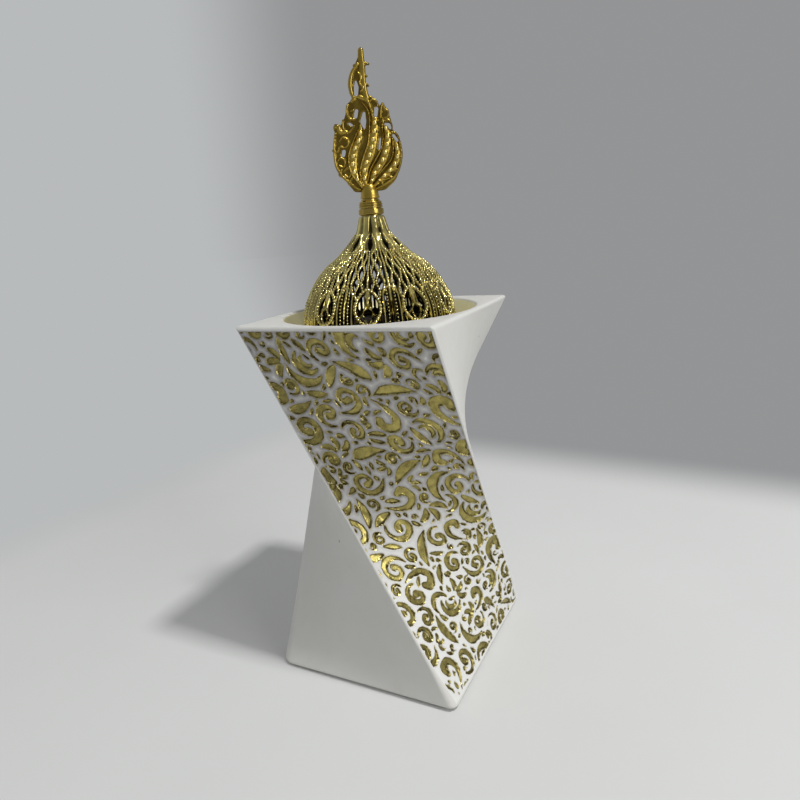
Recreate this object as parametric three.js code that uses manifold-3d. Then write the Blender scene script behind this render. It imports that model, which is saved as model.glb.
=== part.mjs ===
// A twisted square incense burner of cast resin, with a lift-off pierced dome and a flame finial.
// Lengths are in millimetres, +Z is up, and the origin is at the middle of the foot.

import * as THREE from 'three';
import { mergeVertices } from 'three/addons/utils/BufferGeometryUtils.js';
import Module from 'manifold-3d';

const wasm = await Module();
wasm.setup();

// Fits and cuts
const clearance = 0.3;
const overrun = 2;

// Dome lid, cast and pierced
const domeRadius = 32.8;
const domeHeight = 46.3;
const domeWall = 1.8;
const domeNeckPlug = 5;
const domeRepeats = 10;
const domeLead = 7;
// Radius and height of the dome's outside, as shares of domeRadius and domeHeight
const domeProfileShares = [
  [1, 0], [0.995, 0.07], [0.978, 0.17], [0.945, 0.25], [0.885, 0.325], [0.815, 0.405],
  [0.66, 0.545], [0.505, 0.652], [0.37, 0.735], [0.278, 0.803], [0.222, 0.86], [0.192, 0.925],
  [0.165, 1],
];
// Openings: the middle's place up the dome's curve as a share of its length, then the width as a
// share of domeRadius and the height as a share of domeHeight
const medallionShares = [0.245, 0.238, 0.246];
const leafShares = [0.245, 0.11, 0.151];
const slotShares = [0.195, 0.061, 0.227];
const shoulderSlitShares = [0.45, 0.067, 0.143];
const crownSlitShares = [0.6, 0.064, 0.164];
const neckSlitShares = [0.785, 0.07, 0.16];
const shoulderSlitLean = 16;
// How far the slots and the shoulder slits stand from the middle line of their pair, as shares of
// one repeat
const slotTurnShare = 0.107;
const shoulderSlitTurnShare = 0.27;
const ribRise = 0.7;

// Finial: collar ring, ferrule, flame and the screw through them
const collarRadius = 5.3;
const collarHeight = 2.6;
const ferruleRadius = 5.05;
const ferruleHeight = 3.4;
const ferruleGroove = 0.35;
const stemRadius = 2.8;
const stemHeight = 2.8;
const flameWidth = 28;
const flameHeight = 54;
const flamePlate = 2.6;
const flameRib = 1.1;
const flameTurn = 27;
const studRadius = 1.5;
const studGrip = 4.5;
const studTail = 1;
const nutAcrossFlats = 5.5;
const nutHeight = 2.4;
const washerRadius = 3.5;
const washerThickness = 0.5;

// Outline of the flame from the foot, up its right edge and down its left one, then the middle
// lines of its ribs and its through holes: across and up, as shares of flameWidth and flameHeight
const flameOutlineShares = [
  [0.12, 0], [0.26, 0.026], [0.4, 0.078], [0.465, 0.165], [0.505, 0.255], [0.478, 0.355],
  [0.39, 0.425], [0.378, 0.475], [0.345, 0.535], [0.285, 0.6], [0.2, 0.606], [0.15, 0.65],
  [0.065, 0.685], [0.05, 0.745], [0.035, 0.82], [0.045, 0.872], [0.09, 0.888], [0.036, 0.912],
  [0.02, 0.957], [0, 1], [-0.03, 0.957], [-0.078, 0.906], [-0.163, 0.837], [-0.213, 0.766],
  [-0.202, 0.7], [-0.172, 0.658], [-0.258, 0.618], [-0.272, 0.57], [-0.308, 0.523],
  [-0.365, 0.485], [-0.44, 0.496], [-0.467, 0.46], [-0.44, 0.42], [-0.473, 0.346],
  [-0.492, 0.255], [-0.472, 0.195], [-0.42, 0.142], [-0.33, 0.09], [-0.2, 0.03], [-0.12, 0],
];
const flameRibShares = [
  [[-0.12, 0.43], [-0.085, 0.39], [-0.12, 0.354], [-0.2, 0.27], [-0.222, 0.2], [-0.2, 0.13],
    [-0.1, 0.03]],
  [[0.06, 0.6], [0.118, 0.5], [0.125, 0.437], [0.07, 0.312], [-0.014, 0.214], [-0.06, 0.12],
    [-0.04, 0.03]],
  [[0.25, 0.45], [0.3, 0.352], [0.259, 0.269], [0.155, 0.173], [0.06, 0.1], [0.025, 0.03]],
  [[0.36, 0.38], [0.437, 0.3], [0.425, 0.213], [0.33, 0.145], [0.2, 0.085], [0.09, 0.03]],
];
// Each through hole: middle across and up, then width and height
const flameHoleShares = [
  [-0.03, 0.5, 0.09, 0.085], [-0.095, 0.735, 0.075, 0.075], [-0.14, 0.545, 0.06, 0.035],
  [0.14, 0.56, 0.07, 0.04], [-0.355, 0.28, 0.1, 0.045], [0.3, 0.475, 0.07, 0.04],
];

// Well tray, a spun metal pan round the dome's foot
const trayLedge = 4.8;
const trayFlare = 3.3;
const trayWall = 0.8;
const trayDrop = 0.7;

// Charcoal cup, hung by its flange in the tray's opening
const cupWall = 1;
const cupDepth = 26;
const cupFlange = 3.2;
const cupSideGap = 1.4;
const cupFillet = 3;

// Resin body, a square prism that turns as it rises
const bodyHeight = 160;
const bodyTwist = 90;
const rimWall = 2;
const footSpread = 1;
const sideBulge = 0.8;
const edgeRadius = 2;
const rimRadius = 1.2;
const footRadius = 0.8;
const wellDepth = 8.4;
const boreGap = 1.5;
const airGap = 8;
const boreFloor = 6;
const shellWall = 7;
const hollowCornerRadius = 8;

// Scrollwork sunk in the face that looks to -Y at the rim. A stroke's length is varied by a share.
const scrollDepth = 0.85;
const scrollDraftShare = 0.3;
const scrollLength = 18;
const scrollVaryShare = 0.3;
const scrollGap = 0.9;
const scrollBand = 2.6;
const scrollCount = 24;
const scrollAttempts = 900;
// Each kind of stroke, a crescent, a comma, a leaf, a curl and a drop: its middle line, across and
// up, and its half width, as shares of its length
const scrollShapeShares = [
  [[-0.47, -0.2, 0.015], [-0.3, 0.04, 0.09], [0, 0.15, 0.135], [0.3, 0.04, 0.09],
    [0.47, -0.2, 0.015]],
  [[0.3, -0.5, 0.015], [0.33, -0.17, 0.07], [0.22, 0.16, 0.1], [-0.06, 0.28, 0.115],
    [-0.25, 0.06, 0.14], [-0.13, -0.09, 0.1]],
  [[-0.5, 0.06, 0.015], [-0.17, -0.02, 0.11], [0.17, -0.02, 0.12], [0.5, 0.08, 0.015]],
  [[-0.06, -0.05, 0.1], [0.11, -0.07, 0.07], [0.13, 0.12, 0.07], [-0.07, 0.22, 0.075],
    [-0.27, 0.06, 0.08], [-0.22, -0.22, 0.085], [0.05, -0.36, 0.08], [0.42, -0.3, 0.015]],
  [[-0.42, -0.02, 0.015], [-0.05, 0.03, 0.12], [0.2, 0, 0.15], [0.36, -0.06, 0.06]],
];

// Base board and felt, let into the foot
const footRim = 4.5;
const boardThickness = 2;
const boardCornerRadius = 4;
const feltThickness = 1.2;
const feltProud = 0.4;

// Fineness of the curved faces
const roundSegments = 40;
const smallSegments = 20;
const domeColumns = 3;
const domeRows = 9;
const domeInsideRows = 7;
const bodyRows = 20;
const hollowRows = 8;
const sideSteps = 5;
const hollowSideSteps = 3;
const cornerSteps = 3;
const roundSteps = 3;
const coarseSteps = 2;
const fineSteps = 3;
const ribSteps = 9;
const ribSides = 6;

// Heights, worked out from the top of the body down and up
const wellFloorZ = bodyHeight - wellDepth;
const trayFloorZ = wellFloorZ + clearance;
const trayRimZ = bodyHeight - trayDrop;
const seatZ = trayFloorZ + trayWall + clearance;
const cupBottomZ = seatZ - cupDepth;
const boreFloorZ = wellFloorZ - cupDepth - airGap;
const hollowTopZ = boreFloorZ - boreFloor;
const boardZ = feltThickness + clearance;
const ledgeZ = boardZ + boardThickness + clearance;
const domeTopZ = seatZ + domeHeight;
const neckCeilingZ = domeTopZ - domeNeckPlug;
const collarZ = domeTopZ + clearance;
const ferruleZ = collarZ + collarHeight + clearance;
const stemZ = ferruleZ + ferruleHeight + clearance;
const flameZ = stemZ + stemHeight;
const washerZ = neckCeilingZ - clearance - washerThickness;
const nutZ = washerZ - clearance - nutHeight;
const studBottomZ = nutZ - studTail;
const studTopZ = stemZ + studGrip;

// Radii, worked out from the dome outwards and inwards
const cupFlangeRadius = domeRadius - domeWall - cupSideGap;
const cupRadius = cupFlangeRadius - cupFlange;
const boreRadius = cupRadius + boreGap;
const trayFloorRadius = domeRadius + trayLedge;
const trayMouthRadius = trayFloorRadius + trayFlare;
const wellFloorRadius = trayFloorRadius + trayWall + clearance;
const wellMouthRadius = trayMouthRadius + trayWall + clearance;
const topHalf = wellMouthRadius + rimWall;
const footHalf = topHalf + footSpread;
const boardHalf = footHalf - footRim;
const studHole = studRadius + clearance;

const radians = THREE.MathUtils.degToRad;
const domeRepeat = 2 * Math.PI / domeRepeats;
const domeTurn = radians(flameTurn - 90 - domeLead);

// Solids

function solid(geometry) {
  geometry.deleteAttribute('normal');
  geometry.deleteAttribute('uv');
  const merged = mergeVertices(geometry);
  const corners = merged.index.array;
  const kept = [];
  for (let i = 0; i < corners.length; i += 3) {
    const [a, b, c] = [corners[i], corners[i + 1], corners[i + 2]];
    if (a !== b && b !== c && c !== a) kept.push(a, b, c);
  }
  return new wasm.Manifold(new wasm.Mesh({
    numProp: 3,
    vertProperties: merged.attributes.position.array,
    triVerts: new Uint32Array(kept),
  }));
}

function join(solids) {
  return wasm.Manifold.union(solids);
}

// Turns a profile of [radius, height] pairs round the Z axis. The profile runs up its outside.
function turned(profile, segments = roundSegments) {
  const points = profile.map(([radius, height]) => new THREE.Vector2(radius, height));
  return solid(new THREE.LatheGeometry(points, segments).rotateX(Math.PI / 2));
}

// A solid of revolution that is open in the middle: its profile closes on itself
function turnedRing(profile, segments = roundSegments) {
  return turned([...profile, profile[0]], segments);
}

// Skins a stack of rings of points, each with the same count, and closes both ends
function loft(rings) {
  const count = rings[0].length;
  const positions = rings.flat().flatMap((point) => point.toArray());
  const triangles = [];
  for (let row = 0; row + 1 < rings.length; row++) {
    for (let column = 0; column < count; column++) {
      const next = (column + 1) % count;
      const [a, b] = [row * count + column, row * count + next];
      triangles.push(a, b, b + count, a, b + count, a + count);
    }
  }
  const last = (rings.length - 1) * count;
  const middles = [rings[0], rings[rings.length - 1]].map((ring) => (
    ring.reduce((sum, point) => sum.add(point), new THREE.Vector3()).divideScalar(count)
  ));
  positions.push(...middles[0].toArray(), ...middles[1].toArray());
  for (let column = 0; column < count; column++) {
    const next = (column + 1) % count;
    triangles.push(last + count, next, column, last + count + 1, last + column, last + next);
  }
  const geometry = new THREE.BufferGeometry();
  geometry.setAttribute('position', new THREE.Float32BufferAttribute(positions, 3));
  geometry.setIndex(triangles);
  return solid(geometry);
}

function extruded(shape, depth, curveSegments = coarseSteps) {
  return new THREE.ExtrudeGeometry(shape, { depth, bevelEnabled: false, curveSegments });
}

// Outlines

// A square with round corners and slightly bowed sides, counter-clockwise from above
function squareOutline(half, radius, bulge = 0, steps = sideSteps) {
  const corner = half - radius;
  const points = [];
  for (let side = 0; side < 4; side++) {
    const turn = side * Math.PI / 2;
    for (let step = 0; step <= steps; step++) {
      const across = 2 * step / steps - 1;
      const bowed = half + bulge * (1 - across * across);
      points.push(new THREE.Vector2(bowed, across * corner).rotateAround(new THREE.Vector2(), turn));
    }
    for (let step = 1; step < cornerSteps; step++) {
      const angle = step / cornerSteps * Math.PI / 2;
      const round = new THREE.Vector2(Math.cos(angle), Math.sin(angle)).multiplyScalar(radius);
      round.add(new THREE.Vector2(corner, corner));
      points.push(round.rotateAround(new THREE.Vector2(), turn));
    }
  }
  return points;
}

// A pointed oval, a slot with pointed ends and a drop with its point up, each about its middle
function slitShape(width, height) {
  const shape = new THREE.Shape();
  shape.moveTo(0, -height / 2);
  shape.quadraticCurveTo(width, 0, 0, height / 2);
  shape.quadraticCurveTo(-width, 0, 0, -height / 2);
  return shape;
}

function slotShape(width, height) {
  const [side, end, straight] = [width / 2, height / 2, (height - width) / 2];
  const corners = [
    [0, -end], [side, -straight], [side, straight], [0, end], [-side, straight], [-side, -straight],
  ];
  return new THREE.Shape(corners.map(([x, y]) => new THREE.Vector2(x, y)));
}

function dropShape(width, height) {
  const shape = new THREE.Shape();
  const low = width / 2 - height / 2;
  shape.absarc(0, low, width / 2, -Math.PI, 0, false);
  shape.quadraticCurveTo(width / 2, height / 5, 0, height / 2);
  shape.quadraticCurveTo(-width / 2, height / 5, -width / 2, low);
  return shape;
}

// Resin body

// The turned and shrunk square at one height: its half side and its turn from the top's square
function bodySquare(height) {
  const share = height / bodyHeight;
  const foot = new THREE.Vector2((1 - share) * footHalf, 0);
  const sum = foot.rotateAround(new THREE.Vector2(), radians(bodyTwist));
  sum.x += share * topHalf;
  return { half: sum.length(), turn: sum.angle() };
}

// One ring of the body's surface, moved in from the outside, which scales its corners alike
function bodyRing(height, inset, cornerRadius, bulge, steps) {
  const { half, turn } = bodySquare(height);
  const outline = squareOutline(half - inset, cornerRadius, bulge * height / bodyHeight, steps);
  return outline.map((point) => {
    point.rotateAround(new THREE.Vector2(), turn);
    return new THREE.Vector3(point.x, point.y, height);
  });
}

function bodyOutside() {
  const rings = [];
  const add = (height, inset) => {
    const { half } = bodySquare(height);
    rings.push(bodyRing(height, inset, edgeRadius * (half - inset) / half, sideBulge));
  };
  for (let step = 0; step <= roundSteps; step++) {
    const angle = step / roundSteps * Math.PI / 2;
    add(feltProud + footRadius * (1 - Math.cos(angle)), footRadius * (1 - Math.sin(angle)));
  }
  const low = feltProud + footRadius;
  const high = bodyHeight - rimRadius;
  for (let row = 1; row < bodyRows; row++) add(low + (high - low) * row / bodyRows, 0);
  for (let step = 0; step <= roundSteps; step++) {
    const angle = step / roundSteps * Math.PI / 2;
    add(high + rimRadius * Math.sin(angle), rimRadius * (1 - Math.cos(angle)));
  }
  return loft(rings);
}

// The hollow that the mould's core leaves under the well, which follows the outside
function bodyHollow() {
  const rings = [];
  for (let row = 0; row <= hollowRows; row++) {
    const height = hollowTopZ * row / hollowRows;
    rings.push(bodyRing(height, shellWall, hollowCornerRadius, 0, hollowSideSteps));
  }
  return loft(rings);
}

function footRecess() {
  const shape = new THREE.Shape(squareOutline(boardHalf, boardCornerRadius));
  return solid(extruded(shape, ledgeZ + overrun)).translate([0, 0, -overrun]);
}

function bodyWell() {
  const slope = trayFlare / wellDepth;
  return turned([
    [0, boreFloorZ], [boreRadius, boreFloorZ], [boreRadius, wellFloorZ],
    [wellFloorRadius, wellFloorZ], [wellMouthRadius + slope * overrun, bodyHeight + overrun],
    [0, bodyHeight + overrun],
  ]);
}

// A place on the scrollwork's face: across it, up it, and sunk below it
function facePoint(across, height, sunk) {
  const { half, turn } = bodySquare(height);
  const share = across / (half - edgeRadius);
  const bow = sideBulge * height / bodyHeight * (1 - share * share);
  const point = new THREE.Vector2(across, sunk - half - bow);
  point.rotateAround(new THREE.Vector2(), turn);
  return new THREE.Vector3(point.x, point.y, height);
}

// The stroke that one attempt tries: its number gives its kind, place, length and turn. Steps by
// the plastic number spread the places evenly over the face.
function scrollStroke(attempt) {
  const kinds = scrollShapeShares.length;
  const plastic = 1.32471795724;
  const golden = (Math.sqrt(5) - 1) / 2;
  const height = bodyHeight * (attempt / plastic % 1);
  const across = bodySquare(height).half * (2 * (attempt / plastic ** 2 % 1) - 1);
  const turn = 2 * Math.PI * (attempt * golden % 1);
  const length = scrollLength * (1 - scrollVaryShare * (attempt * Math.SQRT2 % 1));
  const side = Math.floor(attempt / kinds) % 2 ? 1 : -1;
  return scrollShapeShares[attempt % kinds].map(([x, y, reach]) => {
    const middle = new THREE.Vector2(side * x, y).rotateAround(new THREE.Vector2(), turn);
    middle.multiplyScalar(length).add(new THREE.Vector2(across, height));
    return { middle, reach: reach * length };
  });
}

// The round spots that a stroke covers, at its points and half way between them
function strokeSpots(stroke) {
  const spots = [...stroke];
  for (let index = 1; index < stroke.length; index++) {
    const [before, here] = [stroke[index - 1], stroke[index]];
    const middle = before.middle.clone().lerp(here.middle, 1 / 2);
    spots.push({ middle, reach: (before.reach + here.reach) / 2 });
  }
  return spots;
}

// The strokes that keep clear of each other and of the plain band round the face
function scrollStrokes() {
  const strokes = [];
  const taken = [];
  for (let attempt = 0; attempt < scrollAttempts && strokes.length < scrollCount; attempt++) {
    const stroke = scrollStroke(attempt);
    const spots = strokeSpots(stroke);
    const onFace = spots.every(({ middle, reach }) => {
      const edge = reach + scrollBand;
      return middle.y > edge && middle.y < bodyHeight - edge
        && Math.abs(middle.x) < bodySquare(middle.y).half - edge;
    });
    const clear = onFace && spots.every((spot) => taken.every((other) => (
      spot.middle.distanceTo(other.middle) > spot.reach + other.reach + scrollGap
    )));
    if (clear) {
      strokes.push(stroke);
      taken.push(...spots);
    }
  }
  return strokes;
}

// A cutter along one stroke, narrower at its floor than at its mouth
function scrollCutter(stroke) {
  const last = stroke.length - 1;
  const mouthShare = 1 + scrollDraftShare * overrun / scrollDepth;
  return loft(stroke.map(({ middle, reach }, index) => {
    const [before, after] = [stroke[Math.max(index - 1, 0)], stroke[Math.min(index + 1, last)]];
    const along = after.middle.clone().sub(before.middle).normalize();
    const left = new THREE.Vector2(-along.y, along.x).multiplyScalar(reach);
    return [
      [mouthShare, -overrun], [-mouthShare, -overrun],
      [scrollDraftShare - 1, scrollDepth], [1 - scrollDraftShare, scrollDepth],
    ].map(([share, sunk]) => (
      facePoint(middle.x + share * left.x, middle.y + share * left.y, sunk)
    ));
  }));
}

function resinBody() {
  const plain = bodyOutside().subtract(join([bodyHollow(), footRecess(), bodyWell()]));
  return plain.subtract(join(scrollStrokes().map(scrollCutter)));
}

function footPanel(bottom, thickness) {
  const shape = new THREE.Shape(squareOutline(boardHalf - clearance, boardCornerRadius));
  return solid(extruded(shape, thickness)).translate([0, 0, bottom]);
}

// Tray and cup

function wellTray() {
  const hole = cupRadius + clearance;
  return turnedRing([
    [hole, trayFloorZ], [trayFloorRadius + trayWall, trayFloorZ],
    [trayMouthRadius + trayWall, trayRimZ], [trayMouthRadius, trayRimZ],
    [trayFloorRadius, trayFloorZ + trayWall], [hole, trayFloorZ + trayWall],
  ]);
}

function filletPoints(radius, bottom, fillet) {
  const points = [];
  for (let step = 0; step <= coarseSteps; step++) {
    const angle = step / coarseSteps * Math.PI / 2;
    points.push([radius - fillet * (1 - Math.sin(angle)), bottom + fillet * (1 - Math.cos(angle))]);
  }
  return points;
}

function charcoalCup() {
  const inside = filletPoints(cupRadius - cupWall, cupBottomZ + cupWall, cupFillet - cupWall);
  return turned([
    [0, cupBottomZ], ...filletPoints(cupRadius, cupBottomZ, cupFillet), [cupRadius, seatZ],
    [cupFlangeRadius, seatZ], [cupFlangeRadius, seatZ + cupWall],
    [cupRadius - cupWall, seatZ + cupWall], ...inside.reverse(), [0, cupBottomZ + cupWall],
  ]);
}

// Pierced dome

const domeCurve = new THREE.SplineCurve(domeProfileShares.map(([radiusShare, heightShare]) => (
  new THREE.Vector2(radiusShare * domeRadius, seatZ + heightShare * domeHeight)
)));

// A place on the dome: share up its curve, angle round it, and how far out of its surface
function domeFrame(share, angle) {
  const point = domeCurve.getPointAt(share);
  const tangent = domeCurve.getTangentAt(share);
  const across = new THREE.Vector3(-Math.sin(angle), Math.cos(angle), 0);
  const round = (vector) => new THREE.Vector3(
    vector.x * Math.cos(angle), vector.x * Math.sin(angle), vector.y,
  );
  const up = round(tangent);
  const out = new THREE.Vector3().crossVectors(across, up);
  return new THREE.Matrix4().makeBasis(across, up, out).setPosition(round(point));
}

// A cutter through the dome's wall. Its outline is drawn to the size that the shares give.
function domeCutter(outline, [share, widthShare, heightShare], angle, lean = 0) {
  const shape = outline(widthShare * domeRadius, heightShare * domeHeight);
  const inside = 2 * domeWall;
  const geometry = extruded(shape, inside + overrun).translate(0, 0, -inside);
  geometry.rotateZ(radians(lean));
  return solid(geometry.applyMatrix4(domeFrame(share, angle)));
}

// The dome's outside, with one rib up the middle between each two medallions
function domeOutside() {
  const rings = [];
  for (let row = 0; row <= domeRows; row++) {
    const point = domeCurve.getPointAt(row / domeRows);
    const ring = [];
    for (let column = 0; column < domeRepeats * domeColumns; column++) {
      const middle = column % domeColumns === (domeColumns - 1) / 2;
      const radius = point.x + (middle ? ribRise * Math.sin(Math.PI * row / domeRows) : 0);
      const angle = domeTurn + (column + 1 / 2) / domeColumns * domeRepeat;
      ring.push(new THREE.Vector3(radius * Math.cos(angle), radius * Math.sin(angle), point.y));
    }
    rings.push(ring);
  }
  return loft(rings);
}

// The dome's hollow, one wall thickness in from the curve, up to the neck's plug, and the stud's hole
function domeInside() {
  const inner = [];
  for (let row = 0; row <= domeInsideRows; row++) {
    const point = domeCurve.getPointAt(row / domeInsideRows);
    const tangent = domeCurve.getTangentAt(row / domeInsideRows);
    inner.push(new THREE.Vector2(point.x - tangent.y * domeWall, point.y + tangent.x * domeWall));
  }
  const low = inner.filter((point) => point.y < neckCeilingZ);
  const [below, above] = [low[low.length - 1], inner[low.length] ?? inner[domeInsideRows]];
  const ceiling = below.clone().lerp(above, (neckCeilingZ - below.y) / (above.y - below.y));
  return turned([
    [0, seatZ - overrun], [domeRadius - domeWall, seatZ - overrun],
    ...low.map((point) => point.toArray()), ceiling.toArray(), [studHole, neckCeilingZ],
    [studHole, domeTopZ + overrun], [0, domeTopZ + overrun],
  ], domeRepeats * domeColumns);
}

// One repeat of the openings, with the medallion at the given angle
function domeOpenings(angle) {
  const between = angle + domeRepeat / 2;
  const slotTurn = domeRepeat * slotTurnShare;
  const slitTurn = domeRepeat * shoulderSlitTurnShare;
  return [
    medallion(angle),
    domeCutter(slotShape, slotShares, between - slotTurn),
    domeCutter(slotShape, slotShares, between + slotTurn),
    domeCutter(slitShape, shoulderSlitShares, angle + slitTurn, shoulderSlitLean),
    domeCutter(slitShape, shoulderSlitShares, angle - slitTurn, -shoulderSlitLean),
    domeCutter(slitShape, crownSlitShares, angle),
    domeCutter(slitShape, neckSlitShares, angle),
  ];
}

// A drop-shaped opening with a leaf left standing in it, which joins the wall at its foot
function medallion(angle) {
  const leafDrop = (medallionShares[2] - leafShares[2]) / 2 * domeHeight + clearance;
  const frame = (width, height) => (
    new THREE.Shape(dropShape(width, height).getPoints(fineSteps))
  );
  const leaf = (width, height) => {
    const points = dropShape(width, height).getPoints(coarseSteps);
    return new THREE.Shape(points.map((point) => new THREE.Vector2(point.x, point.y - leafDrop)));
  };
  return domeCutter(frame, medallionShares, angle).subtract(domeCutter(leaf, leafShares, angle));
}

function rodAlong(path, radius) {
  const section = new THREE.Shape();
  for (let side = 0; side < ribSides; side++) {
    const angle = 2 * Math.PI * side / ribSides;
    const place = [radius * Math.cos(angle), radius * Math.sin(angle)];
    if (side === 0) section.moveTo(...place);
    else section.lineTo(...place);
  }
  return solid(new THREE.ExtrudeGeometry(section, { steps: ribSteps, extrudePath: path }));
}

function domeLid() {
  const cuts = [domeInside()];
  for (let index = 0; index < domeRepeats; index++) {
    cuts.push(...domeOpenings(domeTurn + index * domeRepeat));
  }
  return domeOutside().subtract(join(cuts));
}

// Finial

function finialStud() {
  return turned([
    [0, studBottomZ], [studRadius, studBottomZ], [studRadius, studTopZ], [0, studTopZ],
  ], smallSegments);
}

function finialNut() {
  const radius = nutAcrossFlats / Math.sqrt(3);
  const hexagon = new THREE.Shape();
  for (let corner = 0; corner < 6; corner++) {
    const angle = corner * Math.PI / 3;
    const place = [radius * Math.cos(angle), radius * Math.sin(angle)];
    if (corner === 0) hexagon.moveTo(...place);
    else hexagon.lineTo(...place);
  }
  hexagon.holes.push(new THREE.Path().absarc(0, 0, studHole, 0, 2 * Math.PI, true));
  return solid(extruded(hexagon, nutHeight, smallSegments / 2)).translate([0, 0, nutZ]);
}

function finialWasher() {
  return turnedRing([
    [studHole, washerZ], [washerRadius, washerZ], [washerRadius, washerZ + washerThickness],
    [studHole, washerZ + washerThickness],
  ], smallSegments);
}

function collarRing() {
  const round = collarHeight / 5;
  const top = collarZ + collarHeight;
  return turnedRing([
    [studHole, collarZ], [collarRadius - round, collarZ], [collarRadius, collarZ + round],
    [collarRadius, top - round], [collarRadius - round, top], [studHole, top],
  ], smallSegments);
}

function finialFerrule() {
  const unit = ferruleHeight / 8;
  const shoulder = (ferruleRadius + stemRadius) / 2;
  const grooved = ferruleRadius - ferruleGroove;
  return turnedRing([
    [studHole, ferruleZ], [ferruleRadius, ferruleZ], [ferruleRadius, ferruleZ + unit],
    [grooved, ferruleZ + 1.5 * unit], [ferruleRadius, ferruleZ + 2 * unit],
    [ferruleRadius, ferruleZ + 3 * unit], [grooved, ferruleZ + 3.5 * unit],
    [ferruleRadius - ferruleGroove / 2, ferruleZ + 4 * unit],
    [(ferruleRadius + shoulder) / 2, ferruleZ + 6 * unit], [shoulder, ferruleZ + 8 * unit],
    [studHole, ferruleZ + 8 * unit],
  ], smallSegments);
}

function flamePoint([acrossShare, upShare]) {
  return new THREE.Vector3(acrossShare * flameWidth, 0, flameZ + upShare * flameHeight);
}

function flamePlateSolid() {
  const outline = new THREE.CatmullRomCurve3(flameOutlineShares.map(flamePoint), true);
  const flat = outline.getPoints(2 * flameOutlineShares.length);
  const shape = new THREE.Shape(flat.slice(0, -1).map((point) => new THREE.Vector2(point.x, point.z)));
  for (const [across, up, widthShare, heightShare] of flameHoleShares) {
    const middle = flamePoint([across, up]);
    const hole = new THREE.Path();
    const radii = [widthShare * flameWidth / 2, heightShare * flameHeight / 2];
    hole.absellipse(middle.x, middle.z, ...radii, 0, 2 * Math.PI, true);
    shape.holes.push(hole);
  }
  const plate = extruded(shape, flamePlate, fineSteps).rotateX(Math.PI / 2);
  return solid(plate.translate(0, flamePlate / 2, 0));
}

function flameFinial() {
  const foot = stemRadius + flamePlate / 2;
  const stem = turned([
    [0, stemZ], [stemRadius, stemZ], [stemRadius, stemZ + stemHeight / 2],
    [foot, flameZ + foot / 2], [stemRadius / 2, flameZ + stemRadius + foot],
    [0, flameZ + stemRadius + foot],
  ], smallSegments);
  const ribs = flameRibShares.map((shares) => (
    rodAlong(new THREE.CatmullRomCurve3(shares.map(flamePoint)), flamePlate / 2 + flameRib / 2)
  ));
  const hole = turned([
    [0, stemZ - overrun], [studHole, stemZ - overrun], [studHole, studTopZ + clearance],
    [0, studTopZ + clearance],
  ], smallSegments);
  return join([flamePlateSolid(), stem, ...ribs]).subtract(hole).rotate([0, 0, flameTurn]);
}

// Assembly

function mesh(name, body, color, roughness, metalness) {
  const { vertProperties, triVerts } = body.getMesh();
  const geometry = new THREE.BufferGeometry();
  geometry.setAttribute('position', new THREE.BufferAttribute(vertProperties, 3));
  geometry.setIndex(new THREE.BufferAttribute(triVerts, 1));
  geometry.computeVertexNormals();
  const material = new THREE.MeshStandardMaterial({ color, roughness, metalness });
  const piece = new THREE.Mesh(geometry, material);
  piece.name = name;
  return piece;
}

const resinWhite = 0xdeded6;
const trayGold = 0xb3a768;
const domeGold = 0xa09048;
const finialGold = 0xb08a2a;
const steel = 0x9a9a98;

const burner = new THREE.Group();
burner.add(
  mesh('resin_body', resinBody(), resinWhite, 0.7, 0),
  mesh('base_board', footPanel(boardZ, boardThickness), 0x7a5a3c, 0.8, 0),
  mesh('felt_pad', footPanel(0, feltThickness), 0x2c2c2e, 0.95, 0),
  mesh('well_tray', wellTray(), trayGold, 0.4, 1),
  mesh('charcoal_cup', charcoalCup(), steel, 0.4, 1),
  mesh('dome_lid', domeLid(), domeGold, 0.2, 1),
  mesh('collar_ring', collarRing(), finialGold, 0.25, 1),
  mesh('finial_ferrule', finialFerrule(), finialGold, 0.3, 1),
  mesh('flame_finial', flameFinial(), finialGold, 0.35, 1),
  mesh('finial_stud', finialStud(), steel, 0.4, 1),
  mesh('finial_washer', finialWasher(), steel, 0.4, 1),
  mesh('finial_nut', finialNut(), steel, 0.4, 1),
);

export default burner;
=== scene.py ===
# %% [markdown]
# A table-top incense burner, dressed in Blender.
#
# The burner has four things to look at: a square body of cast resin that turns a quarter as it
# rises, with gold scrollwork sunk in one face; a spun gold tray let into its top; a pierced, cast
# gold dome that stands in the tray; and a flat cast flame on top. The measured model was made
# elsewhere and is loaded here as a fixed frame. This file gives it its looks, piece by piece.

import bpy
import numpy as np
from mathutils import Matrix, Vector


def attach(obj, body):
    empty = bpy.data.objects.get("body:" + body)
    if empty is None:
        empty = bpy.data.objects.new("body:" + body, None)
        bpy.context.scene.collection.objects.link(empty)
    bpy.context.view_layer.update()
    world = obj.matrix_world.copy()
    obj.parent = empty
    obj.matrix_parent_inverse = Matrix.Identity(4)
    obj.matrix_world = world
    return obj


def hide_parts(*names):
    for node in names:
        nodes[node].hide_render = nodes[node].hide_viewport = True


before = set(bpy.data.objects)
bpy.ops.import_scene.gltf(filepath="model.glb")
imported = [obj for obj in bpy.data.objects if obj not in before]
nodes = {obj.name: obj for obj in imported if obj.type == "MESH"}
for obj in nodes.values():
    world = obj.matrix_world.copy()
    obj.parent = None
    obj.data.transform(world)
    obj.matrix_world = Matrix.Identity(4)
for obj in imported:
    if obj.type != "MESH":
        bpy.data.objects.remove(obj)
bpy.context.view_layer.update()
MM = 0.001

# %% [markdown]
# Everything that follows is worked out in millimetres, because that is how the burner's maker
# would measure it. Blender wants metres, so every mesh is multiplied by 0.001 at the moment it is
# made. A mesh is made from two arrays: one row of x, y, z for each point, and the point numbers
# round each face.

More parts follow.
